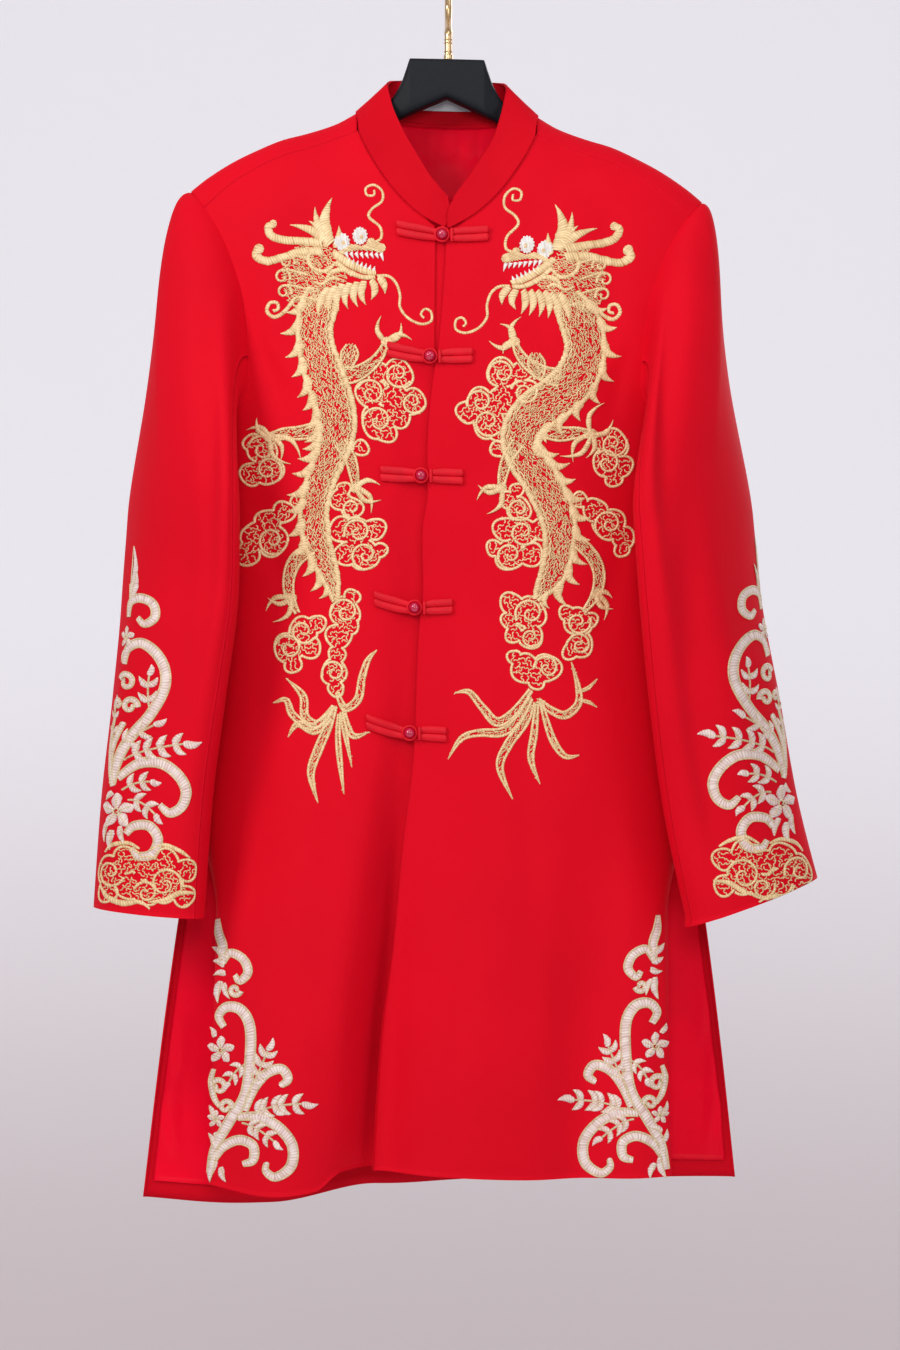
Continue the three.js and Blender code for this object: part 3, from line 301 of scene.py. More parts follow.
def mottle(m, color, dark, light, scale):
    """Slow colour variation from dark to light around the base colour."""
    coord = add(m, "ShaderNodeTexCoord")
    noise = add(m, "ShaderNodeTexNoise", Scale=scale, Detail=4.0)
    ramp = add(m, "ShaderNodeValToRGB")
    ramp.color_ramp.elements[0].position, ramp.color_ramp.elements[1].position = 0.3, 0.7
    ramp.color_ramp.elements[0].color = (*[c * dark for c in color], 1)
    ramp.color_ramp.elements[1].color = (*[min(1, c * light) for c in color], 1)
    link(m, coord, "Object", noise, "Vector")
    link(m, noise, "Fac", ramp, "Fac")
    link(m, ramp, "Color", m.node_tree.nodes["Principled BSDF"], "Base Color")
    return coord


def weave_bump(m, coord, threads, strength, distance, noise_scale=2600.0):
    """Warp and weft as two crossed sets of fine ridges, roughened by noise."""
    nodes = [add(m, "ShaderNodeTexWave", Scale=threads, Distortion=0.6, Detail=1.0)
             for _ in range(2)]
    for wave, direction in zip(nodes, ("X", "Z")):
        wave.bands_direction = direction
        link(m, coord, "Object", wave, "Vector")
    noise = add(m, "ShaderNodeTexNoise", Scale=noise_scale, Detail=3.0)
    link(m, coord, "Object", noise, "Vector")
    mix = add(m, "ShaderNodeMath", operation="MULTIPLY")
    both = add(m, "ShaderNodeMath", operation="ADD")
    link(m, nodes[0], "Fac", mix, 0)
    link(m, nodes[1], "Fac", mix, 1)
    link(m, mix, "Value", both, 0)
    link(m, noise, "Fac", both, 1)
    bump = add(m, "ShaderNodeBump", Strength=strength, Distance=distance)
    link(m, both, "Value", bump, "Height")
    link(m, bump, "Normal", m.node_tree.nodes["Principled BSDF"], "Normal")


def woven(name, color, roughness, mottling, weave=None, metallic=0.0, **extra):
    """A colour that varies slowly, mottling = dark, light and scale, with or without a weave."""
    m = material(name, color, roughness, metallic, **extra)
    coord = mottle(m, color, *mottling)
    if weave:
        weave_bump(m, coord, *weave)
    return m


CREPE_WEAVE, BLUSH = (520.0, 0.14, 0.0003), (1.0, 0.04, 0.1, 1)
# The collar's red is the suiting's red made darker: painted shade on the collar band.
SHELL, PAINTED_SHADE_BAND = (
    woven(name, color, 0.68, mottling, CREPE_WEAVE, Sheen_Weight=0.09, Sheen_Roughness=0.35,
          Sheen_Tint=BLUSH, Specular_IOR_Level=0.07)
    for name, color, mottling in (("crepe_suiting", (0.68, 0.0015, 0.013), (0.95, 1.04, 9.0)),
                                  ("crepe_collar_painted_shade", (0.59, 0.001, 0.01), (0.95, 1.05, 14.0))))
LINING = woven("satin_lining", (0.97, 0.001, 0.022), 0.4, (0.9, 1.1, 14.0), (900.0, 0.08, 0.0002),
               Anisotropic=0.5, Specular_IOR_Level=0.09)
FROG = woven("satin_cord", (0.68, 0.002, 0.014), 0.45, (0.9, 1.08, 60.0), (900.0, 0.15, 0.0002),
             Sheen_Weight=0.04, Sheen_Tint=(1.0, 0.1, 0.12, 1), Specular_IOR_Level=0.2)
PEARL = woven("pearl_button", (0.5, 0.004, 0.05), 0.16, (0.75, 1.3, 240.0), Coat_Weight=0.7,
              Coat_Roughness=0.12, Specular_IOR_Level=0.7)
LABEL = woven("woven_label", (0.72, 0.74, 0.78), 0.45, (0.96, 1.03, 60.0), (900.0, 0.2, 0.0002))
HANGER = woven("matt_hanger", (0.006, 0.007, 0.01), 0.55, (0.85, 1.2, 300.0), Specular_IOR_Level=0.2)
HOOK = woven("polished_brass", (0.72, 0.5, 0.27), 0.25, (0.94, 1.04, 40.0), metallic=1.0)

# ---- Fronts --------------------------------------------------------------------------------------
COLS, ROWS = ((80, 190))


def fine(values, count):
    """`count` steps spread evenly over a list's own uneven steps."""
    return np.interp(np.linspace(0, len(values) - 1, count), np.arange(len(values)), values)


FRONT_COLUMNS = [0, 10, 22, 36, 50, 63, 73, 81, 108, 136, 162, 185, 203, 213.5, 218.8, 221]
FRONT_ROWS = [0, .025, .06, .1, .14, .178, .201, .217, .231, .27, .33, .4, .47, .54, .612, .66,
              .71, .77, .83, .89, .95, 1]


def front_grid(side, edge_name, depth):
    first = max(0.0, side * curve(OPENING, "down", edge_name, NECK_FOOT))
    columns = fine(FRONT_COLUMNS, COLS)
    column = np.concatenate([[first], columns[columns > first + 1]])[None, :]
    r = fine(FRONT_ROWS, ROWS)[:, None]
    inner = side * np.where(column < NECK_SIDE, curve(OPENING, "down", edge_name, NECK_FOOT),
                            curve(OPENING, "down", edge_name, OPENING_TOP))
    start = np.maximum(column, inner)
    top = np.where(column < NECK_SIDE, curve(NECK_FRONT, "x", "down", start), seam(column))
    share = np.maximum(0, (start - inner) / (SEAM_END - inner))
    hem = curve(HEM_FRONT, "x", "down", side * column * 0.95)
    down = lerp(top + GAP, hem, r)
    outer = np.where(down > UNDERARM, body("fhalf", down),
                     curve(ARM_FRONT, "down", "x", np.maximum(SEAM_END, down)) - GAP)
    edge = side * curve(OPENING, "down", edge_name, down)
    x = side * lerp(edge, outer, share)
    return hang(x, depth(x, down), down)


SHEETS = []


def panel(name, grid, thick, mat, look, node, rests_on=("back_cloth",)):
    """A cloth panel that stands for a node, whose part it hides; its grids go into SHEETS."""
    obj = cloth_shell(name, grid, thick, mat, look)
    SHEETS.append((obj, [grid], "hung", rests_on))
    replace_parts(obj, node)


panel("right_front_cloth", front_grid(-1, "under", right_front_depth), CLOTH, SHELL,
      facing(1, -1), "front_right")
panel("left_front_cloth", front_grid(1, "over", front_depth), CLOTH, SHELL, facing(1, -1),
      "front_left")

# ---- Back, with the strips that come over the shoulders ------------------------------------------
BACK_COLUMNS = [0, 22, 44, 64, 83, 108, 136, 164, 190, 210, 224.5, 232.7, 235]
BACK_ROWS = [0, .0026, .0104, .0235, .045, .08, .135, .19, .2135, .2288, .2397, .3, .375, .45, .53,
             .606, .68, .76, .84, .92, 1]


def back_place(column, r):
    reach = np.abs(column)
    top = np.where(reach < BACK_NECK, curve(NECK_BACK, "x", "down", reach),
                   ridge(reach * (RIDGE_END - GAP) / RIDGE_END))
    down = lerp(top, curve(HEM_BACK, "x", "down", column), r)
    outer = np.where(down > UNDERARM, body("bhalf", down),
                     curve(ARM_BACK, "down", "x", np.maximum(ARM_TOP, down)) - GAP)
    return column * outer / RIDGE_END, down


def both_sides(columns):
    return np.concatenate([-columns[:0:-1], columns])


half_columns = np.unique(np.concatenate([fine(BACK_COLUMNS, COLS - 20), [BACK_NECK]]))
back_columns = both_sides(half_columns)
bx, bd = back_place(back_columns[None, :], fine(BACK_ROWS, ROWS)[:, None])
back_grid = hang(bx, back_depth(bx, bd), bd)


def shoulder_strip(side):
    column = half_columns[half_columns >= BACK_NECK][None, :]
    share = (np.linspace(1, 0, 14) ** 1.7)[:, None]
    rx, _ = back_place(side * column, 0.0)
    pull = lerp(1, (SEAM_END - GAP) / (RIDGE_END - GAP), share)
    at_neck = lerp(1, (NECK_SIDE + 1) / BACK_NECK, share)
    inward = np.where(column == BACK_NECK, at_neck, lerp(at_neck, pull, ease(BACK_NECK, 108, column)))
    x = rx * inward
    down = ridge(x) + share * (seam(x) - ridge(x) - GAP)
    return hang(x, front_depth(x, down), down)


def merged(parts):
    """The vertices and faces of several parts as one list of each."""
    starts = np.cumsum([0] + [len(verts) for verts, _ in parts])
    return (np.concatenate([verts for verts, _ in parts]),
            np.concatenate([faces + start for (_, faces), start in zip(parts, starts)]))


back_grids = [back_grid, shoulder_strip(1), shoulder_strip(-1)[:, ::-1]]
obj = new_object("back_cloth", *merged([(g.reshape(-1, 3), grid_faces(*g.shape[:2]))
                                        for g in back_grids]), SHELL)
obj.modifiers.new("weld", "WELD").merge_threshold = 1e-5
thickness = obj.modifiers.new("thickness", "SOLIDIFY")
thickness.thickness, thickness.offset = CLOTH / 1000, -1
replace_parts(obj, "back")
SHEETS.append((obj, back_grids, "hung", ("hanger_bar",)))

# ---- Strip behind the opening, and the lining ----------------------------------------------------
placket_down = np.linspace(238, 1082, ROWS // 2)[:, None]
placket_x = curve(OPENING, "down", "under", placket_down) + np.linspace(-13, 26, 14)[None, :]
placket_y = right_front_depth(placket_x, placket_down) + CLOTH + 0.9
panel("placket_cloth", hang(placket_x, placket_y, placket_down), LINING_CLOTH, SHELL, facing(1, -1),
      "placket", ("right_front_cloth",))
LINING_TOP, LINING_SIDE_TOP, LINING_FOOT = 0.0026, 0.0104, 0.983
lining_columns = both_sides(half_columns[half_columns <= LINING_HALF])[None, :]
lining_rows = np.maximum(fine([LINING_TOP] + BACK_ROWS[3:-1] + [LINING_FOOT], ROWS)[:, None],
                         np.where(np.abs(lining_columns) >= BACK_NECK, LINING_SIDE_TOP, LINING_TOP))
lx, ld = back_place(lining_columns, lining_rows)
lining = hang(lx, back_depth(lx, ld), ld)
LINING_CREASES = table(FOLD_NAMES,
                       (-238, 930, -250, 1100, 6, 1.6), (-252, 980, -226, 1090, 7, -1.5),
                       (-262, 1010, -240, 1108, 5, 1.3), (240, 900, 258, 1100, 7, 1.6),
                       (254, 930, 236, 1070, 6, -1.5), (262, 1000, 244, 1108, 5, 1.4),
                       (-46, 130, -42, 176, 3.4, 1.9), (-30, 132, -29, 170, 3, 1.4),
                       (-14, 130, -16, 184, 3.6, 2.0), (3, 132, 2, 172, 3, 1.5),
                       (20, 130, 22, 182, 3.6, 1.9), (36, 132, 34, 170, 3, 1.5),
                       (52, 130, 49, 176, 3.4, 1.7))
lining[..., 1] -= np.maximum(0, folds(LINING_CREASES, lx, ld, True))
# A slight step across the lining, where it shows through the neck.
lining[..., 1] += ease(199, 203, ld) * (1 - ease(203, 240, ld)) * (np.abs(lx) < 120)
inwards = grid_normals(lining)
inwards = -inwards if facing(1, 1)(lining, inwards) > 0 else inwards
panel("back_lining_satin", lining + inwards * (CLOTH + 1.45), LINING_CLOTH, LINING, facing(1, 1),
      "lining_back")

# ---- Collar --------------------------------------------------------------------------------------
# Rows from beside the tip to the middle of the back: x and drop of the foot, whether that is on
# the back, then x, y and drop of the top edge, and how round the band is between them.
COLLAR_TIPS = {-1: (1.6, 238.6, 0, 1.2, -40.5, 210.5, 2.6), 1: (1.4, 239.5, 0, 3.4, -43, 211, 3.6)}
COLLAR = [(20, 228.8, 0, 13.5, -40, 196, 0), (34, 218, 0, 21, -37, 185, 0),
          (48, 203.7, 0, 30, -33, 170, 0), (60, 188, 0, 37, -27, 158, 0),
          (70, 172.3, 0, 42.5, -21, 147, 0), (78, 156, 0, 47, -16, 135, 0),
          (80.3, 148.5, 0, 49.5, -12, 127, 0), (81, 139, 0, 51.5, -6, 118, 0),
          (82, 129, 0, 54, 3, 103.5, 0), (75, 126.5, 1, 52, 11, 98, 0), (60, 128.5, 1, 46, 17, 95, 0),
          (40, 131, 1, 33, 21.5, 93.5, 0), (20, 132.5, 1, 17, 24, 93, 0), (0, 133, 1, 0, 24.5, 93, 0)]
SEAM_OVERLAP = 0.6


def collar_half(side):
    feet, tops, bulge = [], [], []
    for x, down, on_back, top_x, top_y, top_down, roundness in [COLLAR_TIPS[side]] + COLLAR:
        depth = back_depth if on_back else front_depth
        feet.append(hang(side * x, depth(x, down), down))
        tops.append(hang(side * top_x + 2.5 * ease(115, 160, top_down), top_y, top_down))
        bulge.append(roundness * side)
    return feet, tops, bulge


def collar_grid():
    """The band from its foot to its top edge; the left tip lies a little over the right one."""
    feet, tops, bulge = (np.array(right + left[-2::-1])
                         for right, left in zip(collar_half(-1), collar_half(1)))
    t = np.linspace(0, len(feet) - 1, COLS * 2)
    foot, top = (np.stack([catmull(points[:, k], t) for k in range(3)], -1) for points in (feet, tops))
    bulge = np.interp(t, np.arange(len(feet)), bulge)
    share = np.linspace(0, 1, 24)[:, None]
    below = (-SEAM_OVERLAP / np.linalg.norm(top - foot, axis=1))[None, :]
    at = below + (1 - below) * share
    grid = foot[None] + (top - foot)[None] * at[..., None]
    grid[..., 0] -= bulge[None] * np.sin(np.pi * np.clip(share * 1.1, 0, 1)) ** 0.8
    return grid


def catmull(v, t):
    """A smooth curve through evenly spaced values."""
    i = np.clip(t.astype(int), 0, len(v) - 2)
    u = t - i
    p0, p1, p2, p3 = v[np.maximum(i - 1, 0)], v[i], v[i + 1], v[np.minimum(i + 2, len(v) - 1)]
    return 0.5 * (2 * p1 + (p2 - p0) * u + (2 * p0 - 5 * p1 + 4 * p2 - p3) * u**2
                  + (3 * p1 - p0 - 3 * p2 + p3) * u**3)


# The collar band wears the darker red, painted shade.
panel("collar_band", collar_grid(), COLLAR_CLOTH, PAINTED_SHADE_BAND,
      lambda grid, n: -n[:, : grid.shape[1] // 4, 0].mean(), "collar")

# ---- Sleeves ------------------------------------------------------------------------------------
SECTION_NAMES = "down out y long thick turn"
SECTIONS = {
    "right": table(SECTION_NAMES, (500, 237, -38, 83, 27, 52), (575, 240, -38, 80, 30, 49),
                   (666, 249.5, -36, 74, 33, 48.5), (757, 260, -32, 68, 35, 46),
                   (860, 267, -28, 64.5, 36, 43)),
    "left": table(SECTION_NAMES, (500, 225.5, -52, 85, 27, 50), (575, 232.5, -52, 82, 30, 48),
                  (666, 246, -48, 79, 33, 42), (757, 261, -42, 76, 36, 37),
                  (860, 285.5, -36, 75, 39, 32)),
}
CUFFS = {"right": (859, 0.06), "left": (849, 0.31)}
CAP_FULL = {"right": 118, "left": 90}
SECTION_TOP, SEAM_FRONT, SEAM_BACK, SEAM_TURN = 500, 86, 255, 0.12
CAP_SHARES = [0, .07, .16, .27, .4, .55, .72, .86, 1]
SLEEVE_LEVELS = CAP_SHARES + [1.16, 1.33, 1.5, 1.66, 1.82, 2]


def armhole(side, turn):
    turn = turn % 360
    t = np.where(turn <= 180, turn, 360 - turn)
    share = np.where(t < 90, 0.62 * t / 90, 0.62 + 0.38 * (t - 90) / 90)
    out = np.zeros(np.shape(turn) + (3,))
    for rows, depth, mask in ((ARM_FRONT, front_depth, turn <= 180), (ARM_BACK, back_depth, turn > 180)):
        down = ARM_TOP + (UNDERARM - ARM_TOP) * (1 - (1 - np.linspace(0, 1, 61)) ** 1.6)
        x = curve(rows, "down", "x", down)
        path = np.stack([x, depth(x, down), down], -1)
        length = np.concatenate([[0], np.cumsum(np.linalg.norm(np.diff(path, axis=0), axis=1))])
        p = np.stack([np.interp(share * length[-1], length, path[:, k]) for k in range(3)], -1)
        out = np.where(mask[..., None], p, out)
    out[..., 0] *= side
    return out


def section(name, turn, down):
    side = SIDES[name]
    at = {k: curve(SECTIONS[name], "down", k, down) for k in SECTION_NAMES.split()[1:]}
    slant, angle = np.radians(at["turn"]), np.radians(turn)
    a, b = at["long"] * np.sin(angle), -at["thick"] * np.cos(angle)
    inward = a * np.cos(slant) + b * np.sin(slant)
    y = at["y"] - a * np.sin(slant) + b * np.cos(slant)
    return np.stack(np.broadcast_arrays(side * (at["out"] - inward), y, down + 0 * y), -1)


def sleeve(name, turn, level):
    """A point of a sleeve: turn round it in degrees, level 0 at the armhole, 1 to 2 down the arm."""
    turn, level = np.broadcast_arrays(np.asarray(turn, float), np.asarray(level, float))
    side = SIDES[name]
    low = (1 - np.cos(np.radians(turn))) / 2
    start = armhole(side, turn)
    away = np.stack([start[..., 0] - side * 150, start[..., 1] - 6, 0 * turn], -1)
    away /= np.linalg.norm(away, axis=-1, keepdims=True)
    start = start + away * lerp(-SEAM_OVERLAP, 0.2, low)[..., None]
    leave = away * lerp(CAP_FULL[name], 74, low)[..., None]
    leave[..., 2] = lerp(-26, 0, low)
    end = section(name, turn, np.full(turn.shape, float(SECTION_TOP)))
    reach = np.linalg.norm(start - end, axis=-1, keepdims=True)
    arrive = (section(name, turn, np.full(turn.shape, SECTION_TOP + 60.0)) - end) * reach / 60
    t = np.clip(level, 0, 1)[..., None]
    cap = (start * (2 * t**3 - 3 * t**2 + 1) + leave * (t**3 - 2 * t**2 + t)
           + end * (3 * t**2 - 2 * t**3) + arrive * (t**3 - t**2))
    p = np.where((level <= 1)[..., None], cap, arm_section(name, turn, level))
    return hang(p[..., 0], p[..., 1], p[..., 2]) + sleeve_crease(name, turn, level)


def arm_section(name, turn, level):
    side = SIDES[name]
    cuff, tilt = CUFFS[name]
    tip = section(name, turn, np.full(turn.shape, float(cuff)))
    centre = curve(SECTIONS[name], "down", "out", cuff)
    bottom = cuff + tilt * (centre - side * tip[..., 0])
    return section(name, turn, lerp(SECTION_TOP, bottom, np.maximum(level, 1) - 1))


def arm(name, turn, level):
    """The sleeve below its cap, level 1 to 2."""
    p = arm_section(name, turn, level)
    return hang(p[..., 0], p[..., 1], p[..., 2]) + sleeve_crease(name, turn, level)


# Soft folds of a sleeve: place, half-widths, how far out and how it leans.
SLEEVE_FOLDS = {
    "right": table("turn level wide long out lean",
                   (-12, 0.62, 60, 0.28, 4.5, 0), (52, 0.75, 13, 0.5, -3.2, 12),
                   (70, 1.1, 12, 0.5, 2.4, -8), (30, 1.25, 18, 0.35, -2.6, 10),
                   (-20, 1.45, 16, 0.4, 2.2, -8), (10, 1.72, 14, 0.22, -1.8, 20),
                   (150, 0.8, 20, 0.5, -3.0, 0), (215, 1.1, 24, 0.5, 2.5, 0),
                   (250, 1.5, 18, 0.4, -2.4, 0)),
    "left": table("turn level wide long out lean",
                  (-12, 0.62, 60, 0.28, 3.5, 0), (48, 0.6, 12, 0.4, -4.0, 14),
                  (66, 0.9, 11, 0.45, 2.8, -10), (36, 1.22, 15, 0.28, -3.6, 16),
                  (8, 1.5, 15, 0.35, 2.4, -12), (40, 1.68, 13, 0.25, -3.2, -14),
                  (150, 0.8, 20, 0.5, -3.0, 0), (215, 1.1, 24, 0.5, 2.5, 0),
                  (250, 1.5, 18, 0.4, -2.4, 0)),
}


def sleeve_crease(name, turn, level):
    """How far the folds move a sleeve's point, outwards from its arm."""
    side = SIDES[name]
    rows, total = SLEEVE_FOLDS[name], 0
    for i in range(len(rows["turn"])):
        row = {key: values[i] for key, values in rows.items()}
        around = (turn - row["turn"] - row["lean"] * (level - row["level"]) + 180) % 360 - 180
        total = total + row["out"] * np.exp(-(around / row["wide"])**2
                                            - ((level - row["level"]) / row["long"])**2)
    total = 1.5 * total * ease(0, 0.35, level) * (1 - 0.6 * ease(1.75, 2, level))
    seams = np.minimum(np.abs(turn - SEAM_FRONT), np.abs((turn % 360) - SEAM_BACK))
    total = total * ease(0, 8, seams)
    at = {key: curve(SECTIONS[name], "down", key, SECTION_TOP) for key in ("long", "thick", "turn")}
    slant, angle = np.radians(at["turn"]), np.radians(turn)
    a, b = np.sin(angle) / at["long"], -np.cos(angle) / at["thick"]
    size = np.hypot(a, b)
    a, b = a / size, b / size
    inward, y = a * np.cos(slant) + b * np.sin(slant), -a * np.sin(slant) + b * np.cos(slant)
    return np.stack([-side * inward * total, y * total, 0 * y * total], -1)


for name, side in SIDES.items():
    for part, first, last, way in (("top", SEAM_BACK - 360 + SEAM_TURN, SEAM_FRONT - SEAM_TURN, side),
                                   ("under", SEAM_FRONT + SEAM_TURN, SEAM_BACK - SEAM_TURN, -side)):
        cloth = sleeve(name, np.linspace(first, last, COLS)[None, :], fine(SLEEVE_LEVELS, ROWS)[:, None])
        panel(f"{name}_sleeve_{part}_cloth", cloth, CLOTH, SHELL, facing(0, way), f"sleeve_{name}_{part}")

# ---- The camera's frame, in which the motifs are drawn ------------------------------------------
def to_frame(p):
    """The place (u, v) in the frame, 0 to 900 across and 0 to 1350 down, of points before the camera."""
    scale = SCALE * (1 + (p[..., 1] - PLANE) / DISTANCE)
    return np.stack([MID_U + (p[..., 0] - EYE_X) / scale, MID_V - (p[..., 2] - EYE_Z) / scale], -1)


def front_surface(side, x, down):
    return hang(x, (front_depth if side > 0 else right_front_depth)(x, down), down)


def on_front(side):
    """Lays drawing points (u, v) on a front, each raised along the cloth's normal."""
    def place(uv, lift):
        u, v = uv[..., 0], uv[..., 1]
        y = np.full(u.shape, PLANE)
        for _ in range(5):
            scale = SCALE * (1 + (y - PLANE) / DISTANCE)
            seen_x, down = EYE_X + (u - MID_U) * scale, -EYE_Z - (MID_V - v) * scale
            x = seen_x
            for _ in range(2):
                drop = down - roll_at(down) * x
                x = seen_x + lean_at(drop)
            y = front_surface(side, x, drop)[..., 1]
        return raised(lambda a, b: front_surface(side, a, b), x, drop, lift, 1.5, 1.5, (0, -1, 0))
    return place


def raised(surface, a, b, lift, da, db, out):
    """Points of a surface, lifted along its normal on the side of `out`."""
    p = surface(a, b)
    n = np.cross(surface(a + da, b) - p, surface(a, b + db) - p)
    n /= np.maximum(1e-9, np.linalg.norm(n, axis=-1, keepdims=True))
    n = np.where((n @ np.array(out, float))[..., None] < 0, -n, n)
    return p + n * np.asarray(lift)[..., None]


LEAST = 0.6


def on_sleeve(name):
    """Lays drawing points on a sleeve, from its arc length round the arm."""
    side = SIDES[name]
    turns, levels = np.linspace(-102, 85, 94), np.linspace(1, 2, 33)
    net = arm(name, turns[None, :], levels[:, None])
    frame_u = -side * to_frame(net)[..., 0]
    along = np.linalg.norm(np.diff(net, axis=1), axis=-1) / SCALE
    # Where the cloth turns away from the view, the drawing keeps at least LEAST of its own width.
    steps = np.maximum(np.diff(frame_u, axis=1), LEAST * along)
    middle = int(np.argmin(np.abs(turns - 30)))
    across = np.concatenate([np.zeros((len(levels), 1)), np.cumsum(steps, axis=1)], axis=1)
    across += (frame_u - across)[:, middle:middle + 1]

    def turn_at(u, level):
        row = (level - 1) * (len(levels) - 1)
        low = np.clip(row.astype(int), 0, len(levels) - 2)
        out = np.zeros(u.shape)
        for k in np.unique(low):
            here = low == k
            a, b = (np.interp(-side * u[here], across[j], turns) for j in (k, k + 1))
            out[here] = lerp(a, b, row[here] - k)
        return out

    def place(uv, lift):
        down = -EYE_Z - (MID_V - uv[..., 1]) * 0.88
        level = 1 + (down - SECTION_TOP) / (CUFFS[name][0] - SECTION_TOP)
        level = np.clip(level, 1.0, 1.999)
        for _ in range(5):
            turn = turn_at(uv[..., 0], level)
            at = to_frame(arm(name, turn, level))[..., 1]
            to_level = (to_frame(arm(name, turn, level + 0.01))[..., 1] - at) * 100
            level = np.clip(level + (uv[..., 1] - at) / to_level, 1.0, 1.999)
        turn = turn_at(uv[..., 0], level)
        return raised(lambda a, b: arm(name, a, b), turn, level, lift, 1.0, 0.01,
                      (0.7 * side, -0.7, 0))
    return place


def smooth_path(points, step):
    """Even steps on a smooth curve through points; a third column, the width, rides along."""
    p = np.asarray(points, float)
    t = np.linspace(0, len(p) - 1, (len(p) - 1) * 16 + 1)
    q = np.stack([catmull(p[:, k], t) for k in range(p.shape[1])], -1)
    length = np.concatenate([[0], np.cumsum(np.hypot(*np.diff(q[:, :2], axis=0).T))])
    s = np.linspace(0, length[-1], max(4, int(length[-1] / step) + 1))
    return np.stack([np.interp(s, length, q[:, k]) for k in range(q.shape[1])], -1)


def sides(q):
    """The directions along a path and across it."""
    along = np.gradient(q[:, :2], axis=0)
    along /= np.maximum(1e-9, np.linalg.norm(along, axis=1, keepdims=True))
    return along, np.stack([-along[:, 1], along[:, 0]], -1)


def in_polygon(p, polygon):
    x, y = p[..., 0], p[..., 1]
    odd = np.zeros(x.shape, bool)
    for a, b in zip(polygon, np.roll(polygon, -1, axis=0)):
        cross = (a[1] > y) != (b[1] > y)
        odd ^= cross & (x < (b[0] - a[0]) * (y - a[1]) / (b[1] - a[1] + 1e-12) + a[0])
    return odd


# How wide a leaf, a flame of the mane and a strand of the beard are along their length.
LEAF = ((0, 0.55), (0.22, 0.95), (0.5, 0.9), (0.78, 0.5), (1, 0.06))
FLAME = ((0, .7), (.25, 1), (.5, .85), (.8, .4), (1, .05))
STRAND = ((0, .7), (.3, 1), (.6, .8), (.85, .35), (1, .05))


def bent(base, tip, width, bend, profile):
    """A path from base to tip, bent aside by a share of its length."""
    a, b = np.array(base, float), np.array(tip, float)
    aside = np.array([-(b - a)[1], (b - a)[0]]) * bend
    return [(*(a + (b - a) * t + aside * math.sin(math.pi * t)), width * w) for t, w in profile]


def spiral(u, v, radius, start, sweep, shrink, width, tip, count):
    """A curl from its rim inwards; a negative sweep runs the other way round."""
    path = []
    for t in np.linspace(0, 1, count):
        a, r = start + sweep * t, radius * (1 - shrink * t)
        path.append((u + r * math.cos(a), v + r * math.sin(a), lerp(width, tip, t)))
    return path


def oval(u, v, across, upright, count=14):
    return [(u + across * math.cos(a), v + upright * math.sin(a))
            for a in np.linspace(0, 6.28, count + 1)[:-1]]


def outline(q, aside, half):
    """The polygon round a path, half its width to each side."""
    off = aside * half[:, None]
    return np.concatenate([q[:, :2] + off, (q[:, :2] - off)[::-1]])


def following(q, along, every=1):
    """A guide that gives a path's direction at the nearest of its points."""
    def guide(p):
        nearest = np.argmin(((p[:, None] - q[None, ::every, :2]) ** 2).sum(-1), axis=1) * every
        return np.arctan2(along[nearest, 1], along[nearest, 0])
    return guide


def within(polygon):
    return lambda p: in_polygon(p, polygon)


def bounds_of(polygon):
    return (*polygon.min(0), *polygon.max(0))


